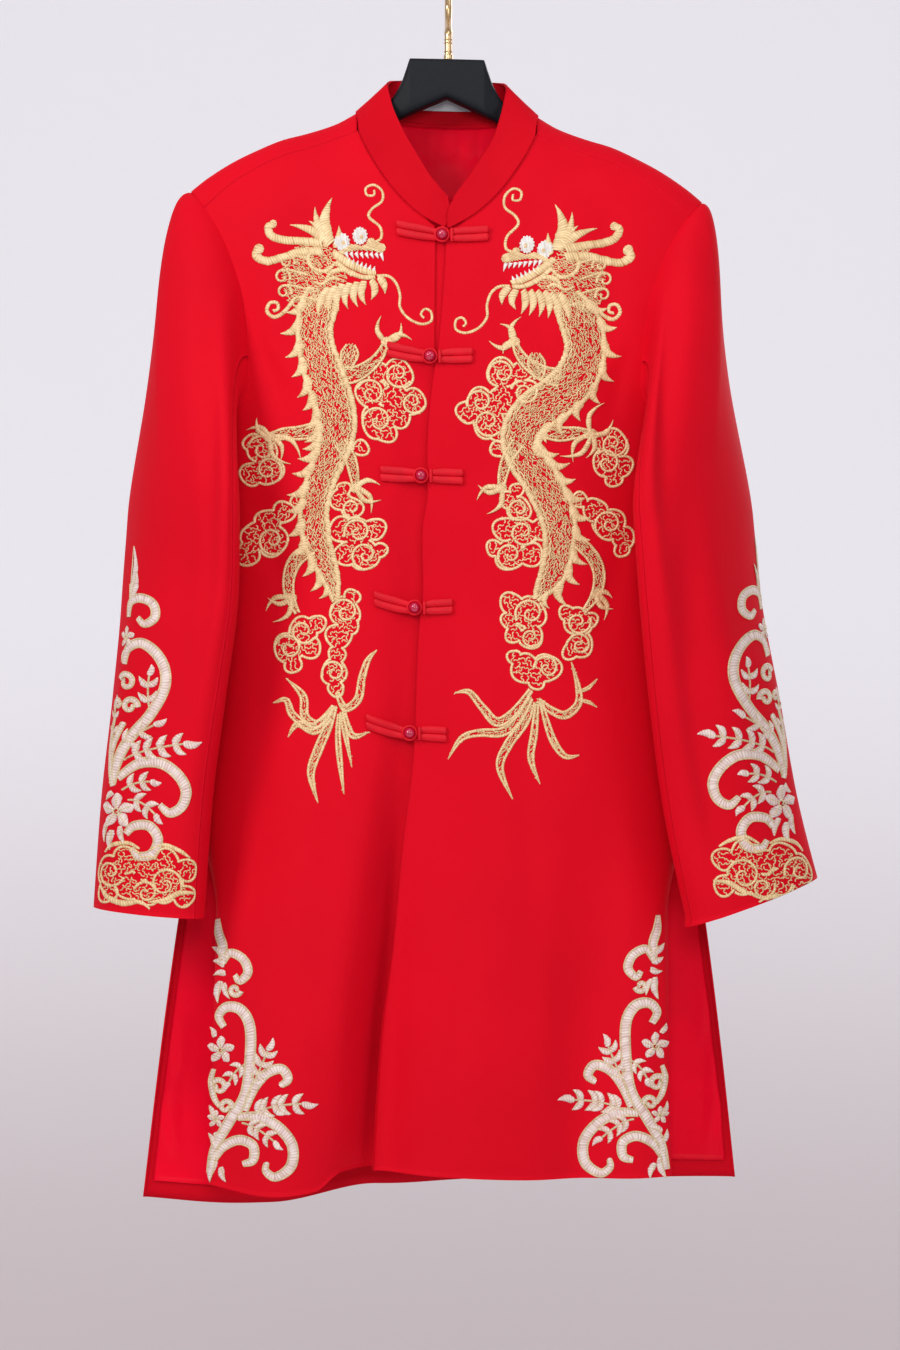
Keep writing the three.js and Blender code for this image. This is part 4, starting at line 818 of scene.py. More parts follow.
class Stitches:
    """Thread work drawn in the camera's frame and laid on a cloth when it is made."""

    def __init__(self):
        # Each point carries a brightness for its thread's colour: painted shade and painted highlight,
        # with a random spread.
        self.uv, self.lift, self.tone, self.faces, self.count = [], [], [], [], 0

    def grid(self, uv, lift, tone):
        rows, cols = uv.shape[:2]
        self.uv.append(uv.reshape(-1, 2))
        self.lift.append(np.broadcast_to(lift, (rows, cols)).ravel())
        self.tone.append(np.broadcast_to(tone, (rows, cols)).ravel())
        self.faces.append(grid_faces(rows, cols) + self.count)
        self.count += rows * cols

    def satin(self, points, high=0.75, step=1.3, lift=0.05, lean=0.3, ridge=0.17,
              across=(-1, -0.66, 0, 0.66, 1)):
        """A domed band of side-by-side stitches along a path of (u, v, width); every other stitch is
        painted lighter and the rest darker, and the band's edges darker: painted highlight and painted
        shade.
        """
        q = smooth_path(points, step)
        along, aside = sides(q)
        half = np.maximum(0.25, q[:, 2] / 2) * (1 + 0.05 * rng.standard_normal(len(q)))
        shape = np.array(across, float)
        off = half[:, None] * shape
        uv = (q[:, None, :2] + aside[:, None] * off[..., None]
              + along[:, None] * (lean * off)[..., None])
        # Alternate stitches are painted lighter and darker, the ridges' painted highlight and the
        # grooves' painted shade; the edges are painted darker, with a random spread.
        odd = np.arange(len(q)) % 2
        top = np.minimum(high, 0.34 * q[:, 2] + 0.1) * (1 + ridge * (2 * odd - 1))
        tone = 0.54 + 0.4 * odd + rng.normal(0, 0.09, len(q))
        self.grid(uv, lift + top[:, None] * (1 - np.abs(shape) ** 2.2),
                  tone[:, None] * (1 - 0.5 * np.abs(shape) ** 3))

    def leaf(self, base, tip, width, bend=0.0, high=0.75, lift=0.1):
        """A pointed leaf, flame, tooth or claw, bent aside by a share of its length."""
        self.satin(bent(base, tip, width, bend, LEAF), high, lift=lift)

    def hatch(self, polygon, angle, high=0.7, lift=0.1, pitch=1.35):
        """A filled shape of parallel stitches, domed from edge to edge, each painted light along its
        middle and dark along its sides: painted highlight and painted shade.
        """
        c, s = math.cos(math.radians(angle)), math.sin(math.radians(angle))
        p = np.asarray(polygon, float) @ np.array([[c, -s], [s, c]])
        for y in np.arange(p[:, 1].min() + pitch / 2, p[:, 1].max(), pitch):
            ends = []
            for a, b in zip(p, np.roll(p, -1, axis=0)):
                if (a[1] > y) != (b[1] > y):
                    ends.append(a[0] + (b[0] - a[0]) * (y - a[1]) / (b[1] - a[1]))
            ends.sort()
            for x0, x1 in zip(ends[::2], ends[1::2]):
                if x1 - x0 < 0.8:
                    continue
                x = np.linspace(x0, x1, 6)
                jitter = rng.uniform(-0.12, 0.12)
                rows = []
                for dy, h in ((-0.5, 0.55), (0, 1), (0.5, 0.55)):
                    rows.append(np.stack([x, np.full(6, y + dy * pitch + jitter)], -1))
                uv = np.stack(rows) @ np.array([[c, s], [-s, c]])
                dome = 1 - np.abs(np.linspace(-1, 1, 6)) ** 2.4
                top = min(high, 0.3 * (x1 - x0))
                # Middle row painted light, edge rows painted dark: painted highlight and painted shade,
                # with a random spread per stitch.
                shades = np.array([0.3, 0.95, 0.3]) + rng.normal(0, 0.08)
                self.grid(uv, lift + top * dome[None] * np.array([0.6, 1, 0.6])[:, None],
                          shades[:, None])

    def threads(self, centre, direction, length, width, high, lift):
        """Many short straight stitches at once, each painted light along its middle and dark along its
        sides: painted highlight and painted shade.
        """
        d = direction * (length / 2)[:, None]
        n = np.stack([-direction[:, 1], direction[:, 0]], -1) * width / 2
        uv = np.stack([centre - d - n * 0.6, centre - d, centre - d + n * 0.6,
                       centre + d - n * 0.6, centre + d, centre + d + n * 0.6], 1)
        lifts = np.tile([0, high, 0, 0, high, 0], (len(centre), 1)) + lift
        base = self.count + 6 * np.arange(len(centre))[:, None, None]
        self.uv.append(uv.reshape(-1, 2))
        self.lift.append(lifts.ravel())
        # Each thread's middle is painted light and its sides dark, painted highlight and painted shade;
        # each thread also varies at random.
        shade = rng.uniform(0.7, 1.05, len(centre))[:, None]
        self.tone.append((np.array([[0.25, 1, 0.25, 0.25, 1, 0.25]]) * shade).ravel())
        self.faces.append((base + np.array([[0, 1, 4, 3], [1, 2, 5, 4]])[None]).reshape(-1, 4))
        self.count += 6 * len(centre)

    def grains(self, inside, box, guide, pitch=(2.35, 1.75), length=3.4, width=1.75, keep=0.96,
               high=0.6, lift=0.05):
        """Scale stitches in zigzag rows; `guide` gives the direction at each point."""
        x, y = np.meshgrid(np.arange(box[0], box[2], pitch[0]), np.arange(box[1], box[3], pitch[1]))
        x = x + (np.arange(len(y)) % 2)[:, None] * pitch[0] / 2
        p = np.stack([x, y], -1).reshape(-1, 2) + rng.uniform(-0.85, 0.85, (x.size, 2))
        parity = np.tile((np.arange(x.shape[1]) % 2) * 2 - 1, x.shape[0])
        patchy = keep * (0.86 + 0.14 * np.sin(p[:, 0] * 0.41 + 2 * np.sin(p[:, 1] * 0.23)))
        sel = inside(p) & (rng.random(len(p)) < patchy)
        p, parity = p[sel], parity[sel]
        if len(p) == 0:
            return
        angle = guide(p) + parity * 0.42 + rng.normal(0, 0.36, len(p))
        self.threads(p, np.stack([np.cos(angle), np.sin(angle)], -1),
                     length * rng.uniform(0.75, 1.2, len(p)), width, high, lift)

    def squiggles(self, inside, box, pitch=5.4, size=8.5, width=1.15, high=0.42, lift=0.05):
        """Wandering fine cords that fill a cloud."""
        x, y = np.meshgrid(np.arange(box[0], box[2], pitch), np.arange(box[1], box[3], pitch * 0.9))
        x = x + (np.arange(len(y)) % 2)[:, None] * pitch / 2
        p = np.stack([x, y], -1).reshape(-1, 2) + rng.uniform(-1.1, 1.1, (x.size, 2))
        for q in p[inside(p)]:
            angle, turn = rng.uniform(0, 6.28), rng.choice([-1, 1]) * rng.uniform(0.5, 0.95)
            path = [q]
            for k in range(6):
                if k == 3:
                    turn = -turn
                angle += turn
                path.append(path[-1] + size / 6 * np.array([math.cos(angle), math.sin(angle)]))
            path = np.array(path) - (np.mean(path, axis=0) - q)
            self.satin(np.column_stack([path, np.full(7, width)]), high, 1.4, lift, 0, 0,
                       (-1, 0, 1))

    def make(self, name, place, material, slot):
        uv, lift = np.concatenate(self.uv), np.concatenate(self.lift)
        points = np.concatenate([place(uv[i:i + 60000], lift[i:i + 60000])
                                 for i in range(0, len(uv), 60000)])
        obj = new_object(name, points, np.concatenate(self.faces), material,
                         {"tone": np.concatenate(self.tone)})
        return obj


def limb(gold, rows, band=4.0, lift=0.35, spikes=None, scallops=False, outer=1):
    """A scaled body or leg along (u, v, width): satin edges round zigzag scale stitches."""
    q = smooth_path(rows, 1.0)
    along, aside = sides(q)
    half = q[:, 2] / 2
    polygon = outline(q, aside, half)
    core = outline(q, aside, (half - band * 0.7).clip(0.3))
    gold.grains(within(core), bounds_of(polygon), following(q, along, 3), lift=lift)
    for sign in (1, -1):
        belly = scallops and sign != outer
        wide = band * (1.35 if sign == outer and spikes else 1.0)
        width, past = np.minimum(wide, q[:, 2] * 0.5), 0
        if belly:
            width = np.minimum(band * 1.25, q[:, 2] * 0.5)
            width = width + 1.6 * np.abs(np.sin(np.pi * np.arange(len(q)) / 9.0))
            past = 1.4
        centre = q[:, :2] + sign * aside * (half - width / 2 + past)[:, None]
        gold.satin(np.column_stack([centre, width])[::2], 0.8, lift=lift + 0.1, lean=0.45 * sign)
        if belly:
            inner = q[:, :2] + sign * aside * (half - width - 0.6)[:, None]
            gold.satin(np.column_stack([inner, np.full(len(q), 1.5)])[::3], 0.7, lift=lift + 0.3)
    if spikes:
        for at in np.arange(spikes[0], len(q) - 6, spikes[1]):
            i = int(at)
            size = spikes[2] * min(1, q[i, 2] / 26)
            root = q[i, :2] + outer * aside[i] * (half[i] - 3)
            reach = rng.uniform(0.85, 1.15)
            tip = (q[i, :2] + outer * aside[i] * (half[i] + 0.6 * size * reach)
                   + along[i] * size * 0.9 * reach)
            gold.leaf(root, tip, 0.5 * size, -0.26 * outer, 0.8, lift + 0.15)
            small = q[i, :2] + outer * aside[i] * (half[i] + 0.2 * size) + along[i] * size * 0.75
            gold.leaf(root + along[i] * 3, small, 0.36 * size, -0.2 * outer, 0.8, lift + 0.2)
    return polygon


def cloud(cream, lobes, holes=(), lift=0.1, edge=2.6):
    """A cloud of round lobes (u, v, radius, curl): thick outline, curls and a vermicelli ground."""
    c = np.array([lobe[:3] for lobe in lobes], float)

    def hidden(p):
        out = np.zeros(len(p), bool)
        for hole in holes:
            out |= in_polygon(p, hole)
        return out

    def inside(p):
        near = (np.linalg.norm(p[:, None] - c[None, :, :2], axis=-1) < c[None, :, 2] - 3.6).any(1)
        return near & ~hidden(p)
    for i, (u, v, r) in enumerate(c):
        angles = np.radians(np.arange(0, 364, 4))
        uneven = 1 + 0.06 * np.sin(3 * angles + 1.7 * i) + 0.04 * np.sin(2 * angles + i)
        p = np.array([u, v]) + ((r - edge / 2) * uneven * np.array([np.cos(angles), np.sin(angles)])).T
        others = np.delete(c, i, axis=0)
        apart = np.linalg.norm(p[:, None] - others[None, :, :2], axis=-1)
        shown = ~(apart < others[None, :, 2] - edge / 2 - 0.9).any(1) & ~hidden(p)
        start = int(np.argmin(shown)) if not shown.all() else 0
        shown, p = np.roll(shown[:-1], -start), np.roll(p[:-1], -start, axis=0)
        if shown.all():
            shown, p = np.append(shown, True), np.vstack([p, p[:1]])
        run = []
        for ok, point in zip(np.append(shown, False), np.vstack([p, p[:1]])):
            if ok:
                run.append(point)
            elif run:
                if len(run) > 3:
                    path = np.array(run)[::2] if len(run) > 5 else np.array(run)
                    cream.satin(np.column_stack([path, np.full(len(path), edge)]), 0.8, lift=lift + 0.1)
                run = []
    for u, v, r, curl in lobes:
        if curl:
            path = spiral(u, v, r - edge * 0.6, math.radians(abs(curl)), 8.6 if curl > 0 else -8.6,
                          0.87, 2.7, 1.8, 15)
            cream.satin(path, 0.75, lift=lift + 0.15)
    box = (*(c[:, :2] - c[:, 2:]).min(0), *(c[:, :2] + c[:, 2:]).max(0))
    cream.squiggles(inside, box, lift=lift)


def frond(gold, points):
    """A tail frond: satin edges and a stippled middle, ending in a point."""
    q = smooth_path(points, 1.0)
    along, aside = sides(q)
    half = q[:, 2] / 2
    edge = np.minimum(2.6, q[:, 2] * 0.5)
    for sign in (1, -1):
        centre = q[:, :2] + sign * aside * (half - edge / 2)[:, None]
        gold.satin(np.column_stack([centre, edge])[::2], 0.7, lift=0.2, lean=0.4 * sign)
    polygon = outline(q, aside, half * 0.72)
    gold.grains(within(polygon), bounds_of(polygon), following(q, along), (2.4, 1.8), 3.4, 1.8, 0.93,
                lift=0.1)


# The head, drawn once; `turned` mirrors it for the left front.
HORNS = [[(322, 243, 9), (300, 241, 8), (284, 240, 8), (272, 236, 8), (268, 228, 8), (273, 224, 7)],
         [(322, 251, 9), (300, 252, 8), (284, 257, 8), (267, 261, 8), (257, 256, 9), (259, 249, 9)]]
FLAMES = [((328, 243), (290, 225), 10, 0.10), ((326, 242), (309, 221), 9, 0.10),
          ((329, 240), (315, 207), 10, -0.12), ((331, 244), (332, 198), 13, -0.16),
          ((336, 248), (339, 226), 8, 0.05)]
BEARD = [((378, 277), (385, 294), 8, -0.15), ((371, 280), (371, 300), 8, -0.2),
         ((364, 281), (366, 305), 8, 0.15), ((357, 282), (358, 307), 8, 0.16),
         ((350, 283), (348, 309), 8, 0.16), ((343, 284), (339, 311), 8, 0.14),
         ((336, 286), (329, 314), 8, 0.12), ((328, 288), (318, 316), 8, 0.1)]
WHISKERS = [[(373, 243), (381, 238), (380, 227), (369, 217), (372, 209), (382, 201), (382, 191),
             (374, 185), (366, 188), (367, 195), (374, 195), (374, 190)],
            [(377, 276), (388, 276), (396, 283), (400, 295), (400, 307), (408, 318), (421, 324),
             (431, 321), (431, 312), (425, 309), (421, 314), (424, 318)]]
MANE = [(287, 262, 8.5), (282, 277, 9), (284, 292, 8.5), (297, 303, 7.5)]
TENDRIL = [(293, 301), (284, 312), (274, 317), (267, 311), (270, 303), (277, 303), (278, 309),
           (273, 311)]


def head(gold, white, turned):
    def t(points):
        return [turned(*p) for p in points]
    mane = np.array(t([(322, 238), (338, 256), (350, 276), (338, 288), (326, 304), (300, 308),
                       (287, 300), (282, 280), (283, 260), (298, 246)]))
    gold.grains(within(mane), bounds_of(mane), lambda p: np.full(len(p), 0.4), keep=0.93, lift=0.15)
    for u, v, r in MANE:
        ringlet = []
        for k in np.linspace(0, 1, 13):
            a, rr = 0.3 - 7.0 * k, r * (0.95 - 0.72 * k)
            ringlet.append((u + rr * math.cos(a), v + rr * math.sin(a), 3.0 - k))
        gold.satin(t(ringlet), 0.8, lift=0.3)
        gold.satin(t([(u + r * 0.4, v - r * 0.85, 2.6), (u + 14, v - r * 0.6, 2.6), (u + 26, v - 2, 2)]),
                   0.7, lift=0.3)
    gold.satin(t([(336, 262, 3), (326, 271, 4), (313, 268, 4), (308, 258, 4), (314, 249, 3)]), lift=0.35)
    gold.satin(t([(352, 275, 4), (344, 270, 4.5), (332, 272, 4.5), (326, 280, 3)]), lift=0.35)
    gold.satin(t([(340, 280, 3), (332, 278, 3.5), (322, 284, 3), (314, 282, 2)]), lift=0.35)
    for points in HORNS:
        gold.satin(t(points), 1.0, lift=0.3)
        u, v, w = points[-1]
        gold.hatch(t(oval(u, v, 0.56 * w, 0.56 * w)), 20, 1.0, 0.3)
    for rows, profile, high in ((FLAMES, FLAME, 0.9), (BEARD, STRAND, 0.8)):
        for base, tip, width, bend in rows:
            gold.satin(t(bent(base, tip, width, bend, profile)), high, lift=0.35)
    for points in WHISKERS:
        gold.satin(t([(u, v, 3.0 - 0.06 * i) for i, (u, v) in enumerate(points)]), 0.7, lift=0.15,
                   across=(-1, -0.5, 0.5, 1))
    gold.satin(t([(u, v, 4.2 - 0.15 * i) for i, (u, v) in enumerate(TENDRIL)]), lift=0.25)
    # The brow, the upper and the lower jaw, the nose, the eyes and the teeth.
    gold.hatch(t([(336, 254), (343, 247), (352, 244), (362, 246), (371, 242), (380, 243), (385, 248),
                  (382, 253), (372, 251), (360, 250), (348, 252), (340, 257)]), 20, 1.0, 0.35)
    gold.satin(t([(333, 252, 6), (342, 259, 8), (354, 266, 8), (366, 271, 7), (376, 273, 5)]), 1.0,
               lift=0.35)
    gold.satin(t([(336, 262, 4), (348, 271, 5), (362, 277, 5), (375, 277, 4)]), 0.8, lift=0.4)
    for u, v, r in ((371, 242, 4), (381, 248, 4.6)):
        gold.hatch(t(oval(u, v, r, r)), 60, 1.0, 0.5)
    for u, v, rx, ry in ((342, 242, 7.6, 8.6), (360, 236, 7.2, 8.6)):
        rim = []
        for k in range(28):
            a, far = k * math.pi / 14, 1.09 if k % 2 else 0.93
            rim.append((u + rx * far * math.cos(a), v + ry * far * math.sin(a)))
        white.hatch(t(rim), 80, 0.9, 0.75, 0.8)
        gold.hatch(t(oval(u + 1.5, v + 1.5, 1.9, 2.3, 8)), 10, 0.5, 1.5)
    for k in range(8):
        u = 346 + k * 5.0
        tooth(white, t, (u, 252.5 + 0.1 * k), (u + 2.5, 258.5 + (2.5 if k == 7 else 0)), 4.2)
    for k in range(7):
        u = 348 + k * 4.2
        tooth(white, t, (u, 263.5 + k * 1.25), (u + 1.8, 257.8 + k * 1.4), 4.0)


def tooth(white, t, a, b, w):
    white.satin(t([(*a, w), ((a[0] + b[0]) / 2, (a[1] + b[1]) / 2, w * 0.6), (*b, 0.4)]), 0.7, 0.8, 0.45)


def unturned(u, v, *w):
    return (u, v, *w)


def mirrored(u, v, *w):
    other = 887 - u
    whisker = 0.13 * max(0, 231 - v) * (u > 362) + 0.13 * max(0, 500 - other)
    return (other, v + 8.5 - 0.075 * (other - 530) - whisker, *w)


def curl(u, v, radius, start, turns, width=3.0, tip=2.0):
    return spiral(u, v, radius, math.radians(start), 2 * math.pi * turns, 0.78, width, tip, 17)


def leaves(stitch, root, tips, width, bend, lift=0.4):
    for i, tip in enumerate(tips):
        stitch.leaf(root, tip, width, bend if i % 2 else -bend, 0.9, lift)


# ---- Dragon of the right front, at the left of the view ------------------------------------------
# A body row is its middle and width; a cloud's lobe is its middle, radius and how its curl starts.
BODY_RIGHT = [(322, 290, 30), (318, 306, 38), (314, 325, 37), (315, 345, 37), (320, 365, 40),
              (327, 385, 41), (333, 405, 42), (336, 425, 40), (334, 443, 36), (328, 460, 33),
              (321, 477, 31),
              (316, 495, 30), (313, 512, 30), (314, 528, 31), (317, 544, 28), (323, 560, 25),
              (329, 576, 20), (333, 590, 13), (335, 603, 5)]
LIMBS_RIGHT = [[(340, 376, 20), (356, 374, 17), (372, 364, 13), (382, 352, 10), (386, 342, 7)],
               [(318, 430, 18), (300, 433, 15), (284, 434, 13), (270, 437, 9)],
               [(340, 443, 14), (350, 458, 13), (354, 474, 11), (356, 489, 7)],
               [(312, 548, 14), (296, 560, 15), (289, 578, 13), (290, 597, 11), (298, 614, 6)]]
CLAWS_RIGHT = [((387, 342), [(381, 316), (401, 323), (412, 340), (397, 353)]),
               ((270, 437), [(257, 418), (247, 430), (281, 460), (291, 464), (301, 459)]),
               ((356, 488), [(380, 485), (381, 500), (371, 513)]),
               ((291, 598), [(268, 598), (266, 611), (273, 622)])]
CLOUDS_RIGHT = [
    [(262, 449, 16, 200), (268, 470, 16, -40), (252, 474, 13, 0), (252, 443, 10, 0)],
    [(297, 502, 8, 0), (284, 512, 12, 0), (268, 522, 14, 0), (255, 536, 15, 0), (248, 554, 13, 0),
     (272, 540, 17, 60)],
    [(398, 374, 16, 30), (378, 372, 12, 0), (371, 393, 16, 200), (394, 398, 15, 0), (413, 402, 14, 20),
     (378, 421, 18, 140), (399, 416, 13, 0), (386, 432, 12, 0)],
    [(361, 448, 9, 0)],
    [(341, 500, 12, 0), (352, 508, 12, 60), (344, 489, 8, 0)],
    [(342, 530, 14, 0), (358, 532, 16, 160), (375, 529, 12, 0), (346, 554, 13, 0),
     (365, 555, 16, 100), (381, 550, 8, 0)],
    [(303, 631, 15, 30), (289, 648, 16, 190), (317, 624, 10, 0), (310, 648, 12, 0),
     (293, 664, 10, 0)],
    [(345, 612, 16, 180), (352, 597, 9, 0), (339, 636, 14, 0), (350, 626, 10, 0),
     (334, 672, 14, 160), (337, 655, 10, 0), (336, 689, 9, 0)],
]
FRONDS_RIGHT = [
    [(337, 692, 5), (345, 708, 8), (358, 699, 9), (362, 678, 8), (368, 660, 6), (377, 650, 1)],
    [(334, 706, 5), (318, 724, 9), (305, 716, 9), (303, 696, 8), (287, 679, 1)],
    [(331, 712, 5), (312, 727, 8), (293, 715, 8), (286, 700, 6), (273, 703, 1)],
    [(331, 718, 5), (315, 731, 8), (298, 724, 7), (288, 737, 1)],
    [(335, 706, 6), (328, 727, 9), (318, 750, 10), (311, 774, 8), (318, 803, 1)],
    [(339, 714, 4), (338, 736, 6), (340, 762, 6), (344, 795, 1)],
    [(341, 712, 4), (345, 732, 6), (352, 768, 1)],
    [(343, 708, 4), (352, 735, 7), (369, 732, 1)],
]
# ---- Dragon of the left front, which faces it ----------------------------------------------------
BODY_LEFT = [(566, 298, 30), (574, 310, 37), (580, 321, 41), (584, 332, 42), (586, 347, 41),
             (583, 365, 43), (573, 383, 44), (555, 399, 44), (536, 412, 43), (524, 428, 41),
             (521, 444, 38), (529, 461, 39),
             (540, 477, 38), (549, 494, 38), (556, 510, 37), (560, 527, 35), (560, 543, 32),
             (558, 560, 30), (552, 577, 27), (543, 590, 17), (536, 601, 5)]
LIMBS_LEFT = [[(560, 378, 20), (544, 374, 17), (528, 364, 13), (519, 353, 10), (515, 343, 7)],
              [(546, 430, 18), (560, 434, 16), (576, 433, 13), (591, 434, 9)],
              [(518, 443, 14), (508, 458, 13), (503, 474, 11), (501, 489, 7)],
              [(576, 540, 14), (592, 556, 14), (599, 574, 13), (596, 594, 11), (585, 610, 6)]]
CLAWS_LEFT = [((514, 342), [(521, 317), (500, 324), (489, 341), (503, 354)]),
              ((591, 434), [(604, 403), (613, 420), (586, 458), (573, 462), (560, 456)]),
              ((501, 488), [(478, 485), (477, 500), (487, 514)]),
              ((596, 594), [(612, 598), (613, 609), (604, 620)])]
CLOUDS_LEFT = [
    [(613, 444, 16, 340), (607, 463, 15, 220), (622, 466, 12, 0), (601, 442, 9, 0), (614, 478, 10, 0)],
    [(580, 500, 9, 0), (595, 510, 13, 0), (609, 524, 17, 120), (624, 538, 12, 0), (622, 549, 9, 0)],
    [(502, 373, 16, 150), (522, 372, 11, 0), (525, 392, 14, 340), (502, 400, 16, 0),
     (480, 402, 15, 160), (488, 422, 17, 40), (467, 412, 12, 0), (500, 432, 12, 0)],
    [(498, 449, 9, 0)],
    [(519, 509, 13, 100), (509, 500, 10, 0), (517, 490, 8, 0)],
    [(541, 530, 12, 0), (523, 532, 16, 20), (505, 529, 13, 0), (531, 555, 13, 0),
     (510, 555, 16, 80), (494, 548, 9, 0)],
    [(530, 613, 17, 150), (511, 603, 12, 0), (510, 620, 10, 0), (531, 637, 13, 350), (514, 634, 10, 0)],
    [(578, 622, 15, 340), (567, 613, 9, 0), (590, 620, 9, 0), (580, 645, 14, 200), (570, 652, 9, 0)],
    [(526, 669, 16, 0), (547, 668, 15, 180), (514, 657, 8, 0), (537, 682, 9, 0)],
]
FRONDS_LEFT = [
    [(531, 690, 6), (514, 712, 9), (497, 722, 10), (482, 707, 8), (469, 692, 6), (455, 693, 1)],
    [(531, 698, 6), (518, 720, 9), (502, 732, 10), (478, 733, 8), (461, 739, 6), (448, 759, 1)],
    [(533, 702, 6), (525, 722, 9), (508, 745, 10), (500, 768, 8), (513, 800, 1)],
    [(537, 704, 5), (534, 734, 8), (531, 759, 7), (540, 784, 1)],
    [(541, 702, 5), (552, 738, 8), (565, 756, 6), (580, 755, 1)],
    [(538, 700, 6), (551, 710, 8), (565, 715, 9), (578, 704, 8), (578, 687, 6), (571, 661, 1)],
    [(577, 692, 3), (588, 688, 4), (598, 678, 1)],
    [(578, 700, 3), (588, 702, 4), (597, 707, 1)],
]


def thread_material(name, dark, light, roughness=0.4):
    """Thread coloured from `dark`, its painted shade, to `light`, its painted highlight, by the
    brightness its stitches carry, roughened by noise.
    """
    m = material(name, light, roughness, Sheen_Weight=0.2, Sheen_Roughness=0.35,
                 Specular_IOR_Level=0.5)
    coord = add(m, "ShaderNodeTexCoord")
    tone = add(m, "ShaderNodeAttribute", attribute_name="tone")
    noise = add(m, "ShaderNodeTexNoise", Scale=190.0, Detail=3.0)
    link(m, coord, "Object", noise, "Vector")
    vary = add(m, "ShaderNodeMath", operation="MULTIPLY_ADD")
    link(m, noise, "Fac", vary, 0)
    vary.inputs[1].default_value = 0.5
    vary.inputs[2].default_value = -0.25
    both = add(m, "ShaderNodeMath", operation="ADD")
    link(m, tone, "Fac", both, 0)
    link(m, vary, "Value", both, 1)
    ramp = add(m, "ShaderNodeValToRGB")
    ramp.color_ramp.elements[0].position, ramp.color_ramp.elements[1].position = 0.15, 0.92
    ramp.color_ramp.elements[0].color = (*dark, 1)
    ramp.color_ramp.elements[1].color = (*light, 1)
    link(m, both, "Value", ramp, "Fac")
    link(m, ramp, "Color", m.node_tree.nodes["Principled BSDF"], "Base Color")
    weave_bump(m, coord, 1500.0, 0.2, 0.0001, 5200.0)
    return m


# Each thread runs from a darker colour, its painted shade, to a lighter one, its painted highlight.
GOLD = thread_material("gold_thread", (0.42, 0.19, 0.045), (0.93, 0.70, 0.38))
CREAM = thread_material("cloud_thread", (0.50, 0.24, 0.07), (0.95, 0.74, 0.42))
WHITE = thread_material("white_thread", (0.55, 0.46, 0.40), (0.92, 0.90, 0.87), 0.5)
IVORY = thread_material("lace_thread", (0.50, 0.22, 0.18), (0.88, 0.76, 0.70), 0.5)
CHAMPAGNE = thread_material("lace_cord", (0.34, 0.20, 0.08), (0.80, 0.64, 0.40))


def dragon(prefix, side, body_rows, limbs, claws, clouds, fronds, shell, turned):
    gold, cream, white = Stitches(), Stitches(), Stitches()
    outer = 1 if side < 0 else -1
    holes = [limb(gold, body_rows, 3.5, 0.3, (14, 17.0, 19), True, outer)]
    for rows in limbs:
        holes.append(limb(gold, rows, 2.6, 0.5))
    for (u, v), tips in claws:
        gold.hatch(oval(u, v, 6, 5), 35, 0.9, 0.55)
        leaves(gold, (u, v), tips, 5.4, 0.26, 0.6)
    for lobes in clouds:
        cloud(cream, lobes, holes)
    for points in fronds:
        frond(gold, points)
    limb(gold, shell, 2.4, 0.55)
    head(gold, white, turned)
    place = on_front(side)
    for part, stitch, mat in (("gold", gold, GOLD), ("clouds", cream, CREAM), ("white", white, WHITE)):
        stitch.make(f"{prefix}_dragon_{part}", place, mat, "lace")


dragon("right_front", -1, BODY_RIGHT, LIMBS_RIGHT, CLAWS_RIGHT, CLOUDS_RIGHT, FRONDS_RIGHT,
       [(348, 371, 9), (348, 362, 16), (350, 353, 19), (351, 344, 9)], unturned)
dragon("left_front", 1, BODY_LEFT, LIMBS_LEFT, CLAWS_LEFT, CLOUDS_LEFT, FRONDS_LEFT,
       [(538, 380, 9), (538, 371, 16), (536, 362, 19), (535, 353, 9)], mirrored)

# ---- Gold clouds above the cuffs ----------------------------------------------------------------
CUFF_CLOUD = [(110, 872, 17, 20), (127, 860, 15, 0), (146, 868, 14, 0), (130, 886, 15, 0),
              (166, 862, 14, 0), (165, 884, 19, -20), (186, 870, 12, 0), (146, 893, 14, 200),
              (106, 892, 12, 0), (184, 896, 12, 0)]
CUFF_WAVES = [[(97, 884, 2), (106, 896, 5), (122, 903, 6), (140, 902, 4), (150, 909, 2)],
              [(150, 902, 2), (165, 900, 5), (180, 893, 5), (196, 893, 2)],
              [(104, 852, 2), (112, 845, 4), (128, 843, 4), (140, 849, 2)],
              [(150, 850, 2), (164, 845, 4), (180, 851, 4), (190, 858, 2)]]


def cuff_clouds(name, turned):
    stitch = Stitches()
    cloud(stitch, [(*turned(u, v), r, (180 - c) % 360 if c and name == "left" else c)
                   for u, v, r, c in CUFF_CLOUD])
    for points in CUFF_WAVES:
        stitch.satin([turned(*p) for p in points], lift=0.15)
    stitch.make(f"{name}_cuff_clouds", on_sleeve(name), GOLD, "lace")


cuff_clouds("right", unturned)
cuff_clouds("left", lambda u, v, *w: (909 - u, v - 2 + 0.12 * (145 - u) - 4, *w))

